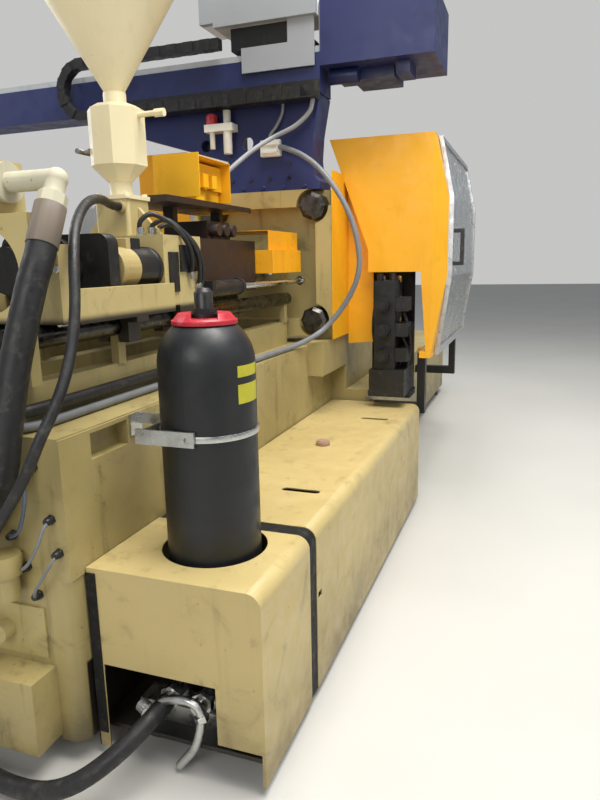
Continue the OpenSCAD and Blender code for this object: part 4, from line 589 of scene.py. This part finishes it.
# Painted shade: black side sheet of the opening
s.box((300, 640, 560), (420, 655, 900), 2)
s.done("shade_sheets_and_valve_blocks", "base", "gasket")
s = Shape()
hoses = (((438, 520, 1120), (478, 540, 1090), (488, 566, 980), (470, 590, 860), (452, 560, 740), (440, 540,
    640), (436, 530, 562)),
         ((438, 560, 1030), (470, 600, 1020), (486, 640, 940), (478, 668, 820), (458, 650, 700), (440, 630, 562)),
         ((438, 520, 930), (466, 560, 900), (480, 620, 850), (470, 655, 760), (450, 640, 660), (432, 610, 562)),
         ((438, 560, 830), (462, 590, 810), (472, 620, 740), (456, 600, 650), (436, 585, 562)),
         ((438, 500, 1010), (462, 486, 980), (470, 480, 860), (456, 500, 720), (434, 510, 562)))
for i, pts in enumerate(hoses):
    cord("stack_hose_%d" % i, pts, 17 if i < 3 else 13, "base", "hose", n=12)
    s.fitting(pts[0], (1, 0.1, 0), 10, 30)
    s.hexagon((pts[-1][0], pts[-1][1], 560), (0, 0, 1), 13, 12)
s.done("stack_fittings", "base", "zinc")
s = Shape()
for z in (1100, 1004, 902):
    s.box((424, 586, z), (446, 612, z + 30), 3)
s.done("stack_coils", "base", "brass")
# Hoses over the side of the carriage block
s = Shape()
side = 185
hoses = (((1868, 96, 1290), (1872, 100, 1330), (1846, 128, 1352), (1806, side - 8, 1318), (1772, side + 22,
    1256), (1752, side + 18, 1196), (1748, side + 2, 1168)),
         ((1830, 110, 1290), (1828, 116, 1322), (1796, 150, 1336), (1756, side + 4, 1290), (1724, side + 24,
             1228), (1704, side + 16, 1160), (1700, side + 2, 1132)),
         ((1786, 104, 1290), (1780, 112, 1318), (1748, 146, 1322), (1712, side + 6, 1268), (1690, side + 20,
             1206), (1684, side + 14, 1150), (1682, side + 2, 1118)))
for i, pts in enumerate(hoses):
    cord("block_hose_%d" % i, pts, 15, "injection_carriage", "hose", n=12)
    s.fitting((pts[0][0], pts[0][1], 1289), (0, 0, 1), 9, 26)
    s.fitting((pts[-1][0], side - 1, pts[-1][2]), (0, 1, 0), 9, 20)
s.done("block_fittings", "injection_carriage", "zinc")
s = Shape().box((1700, side - 1, 1180), (1800, side + 8, 1262), 2).box((1812, side - 1, 1120), (1866, side + 6,
    1240), 2)
s.done("block_plates", "injection_carriage", "black")
# Bent pipes in the opening of the front cover
s = Shape()
s.tube([(2440, 405, 143), (2440, 449, 186), (2440, 517, 197), (2440, 545, 169), (2440, 527, 84), (2440, 479,
    15)], 11, 16)
s.fitting((2440, 405, 143), (-0.3, -0.9, 0.3), 13, 34).hexagon((2440, 545, 169), (0, 0.3, -1), 18, 16)
s.done("bent_pipe", "base", "zinc")
# Loops of thin cable on the end of the bed
for i, (pts, d, look) in enumerate((
        (((2499, 187, 762), (2520, 187, 760), (2532, 187, 735), (2534, 180, 680), (2532, 156, 618), (2520, 118,
            592), (2499, 109, 590)), 9, "cable_blue"),
        (((2499, 222, 640), (2530, 224, 630), (2546, 214, 590), (2546, 186, 548), (2530, 150, 520), (2499, 140,
            514)), 8, "cable_grey"),
        (((2499, 236, 560), (2524, 236, 552), (2538, 220, 520), (2536, 190, 480), (2522, 170, 452), (2499, 165,
            446)), 7, "cable_grey"))):
    cord("end_cable_%d" % i, pts, d, "base", look, n=10)
s = Shape()
for y, z in ((187, 762), (109, 590), (222, 640), (140, 514), (236, 560), (165, 446)):
    s.gland((2499, y, z), (1, 0, 0), 8, 22)
s.done("end_glands", "base", "black_plastic")


# ---------------------------------------------------------------- floor and light
def stage_material(name, colour, rough):
    g = Graph(name, Roughness=rough)
    g.link(g.mix(g.range(g.noise(0.9, 3, 0.5), 0.3, 0.7, 0.0, 0.5), lin(colour), lin("#b9b7b1")),
           g.p.inputs["Base Color"])
    g.bump((g.noise(60, 3, 0.5), 0.001, 0.05))
    return g.m


bm = bmesh.new()
bmesh.ops.create_grid(bm, x_segments=2, y_segments=2, size=30)
me = bpy.data.meshes.new("floor")
bm.to_mesh(me)
bm.free()
floor = bpy.data.objects.new("floor", me)
floor.location.z = -0.0005
scene.collection.objects.link(floor)
me.materials.append(stage_material("studio_floor", "#c3c1bb", 0.55))

world = bpy.data.worlds.new("studio")
scene.world = world
world.use_nodes = True
wt = world.node_tree
wt.nodes.clear()
wo = wt.nodes.new("ShaderNodeOutputWorld")
wm = wt.nodes.new("ShaderNodeMixShader")
lp = wt.nodes.new("ShaderNodeLightPath")
b0, b1 = wt.nodes.new("ShaderNodeBackground"), wt.nodes.new("ShaderNodeBackground")
b0.inputs[0].default_value, b0.inputs[1].default_value = (0.90, 0.95, 1.0, 1), 0.34
b1.inputs[0].default_value, b1.inputs[1].default_value = (0.56, 0.56, 0.555, 1), 1.0
wt.links.new(lp.outputs["Is Camera Ray"], wm.inputs[0])
wt.links.new(b0.outputs[0], wm.inputs[1])
wt.links.new(b1.outputs[0], wm.inputs[2])
wt.links.new(wm.outputs[0], wo.inputs[0])


def area(name, loc, target, size, power, colour=(1, 1, 1)):
    l = bpy.data.lights.new(name, "AREA")
    l.shape, l.size, l.size_y, l.energy, l.color = "RECTANGLE", size[0], size[1], power, colour
    o = bpy.data.objects.new(name, l)
    o.location = loc
    o.rotation_euler = (Vector(target) - Vector(loc)).to_track_quat("-Z", "Y").to_euler()
    scene.collection.objects.link(o)


area("key", (2.2, 2.2, 5.6), (1.2, 0.2, 0.8), (3.2, 3.2), 330, (1, 0.985, 0.95))
area("top", (0.0, 0.6, 6.0), (0.0, 0.2, 0.5), (6, 2.4), 260, (1, 0.99, 0.97))
area("aisle", (1.5, 5.0, 2.6), (0.8, 0.2, 1.0), (5, 2.5), 26, (0.95, 0.97, 1))
area("end", (6.8, 0.4, 3.0), (2.2, 0.1, 0.9), (3, 2.5), 95, (1, 0.99, 0.97))
area("operator", (0.5, -5.0, 3.2), (0.5, 0, 1.0), (5, 2.5), 120, (0.97, 0.98, 1))
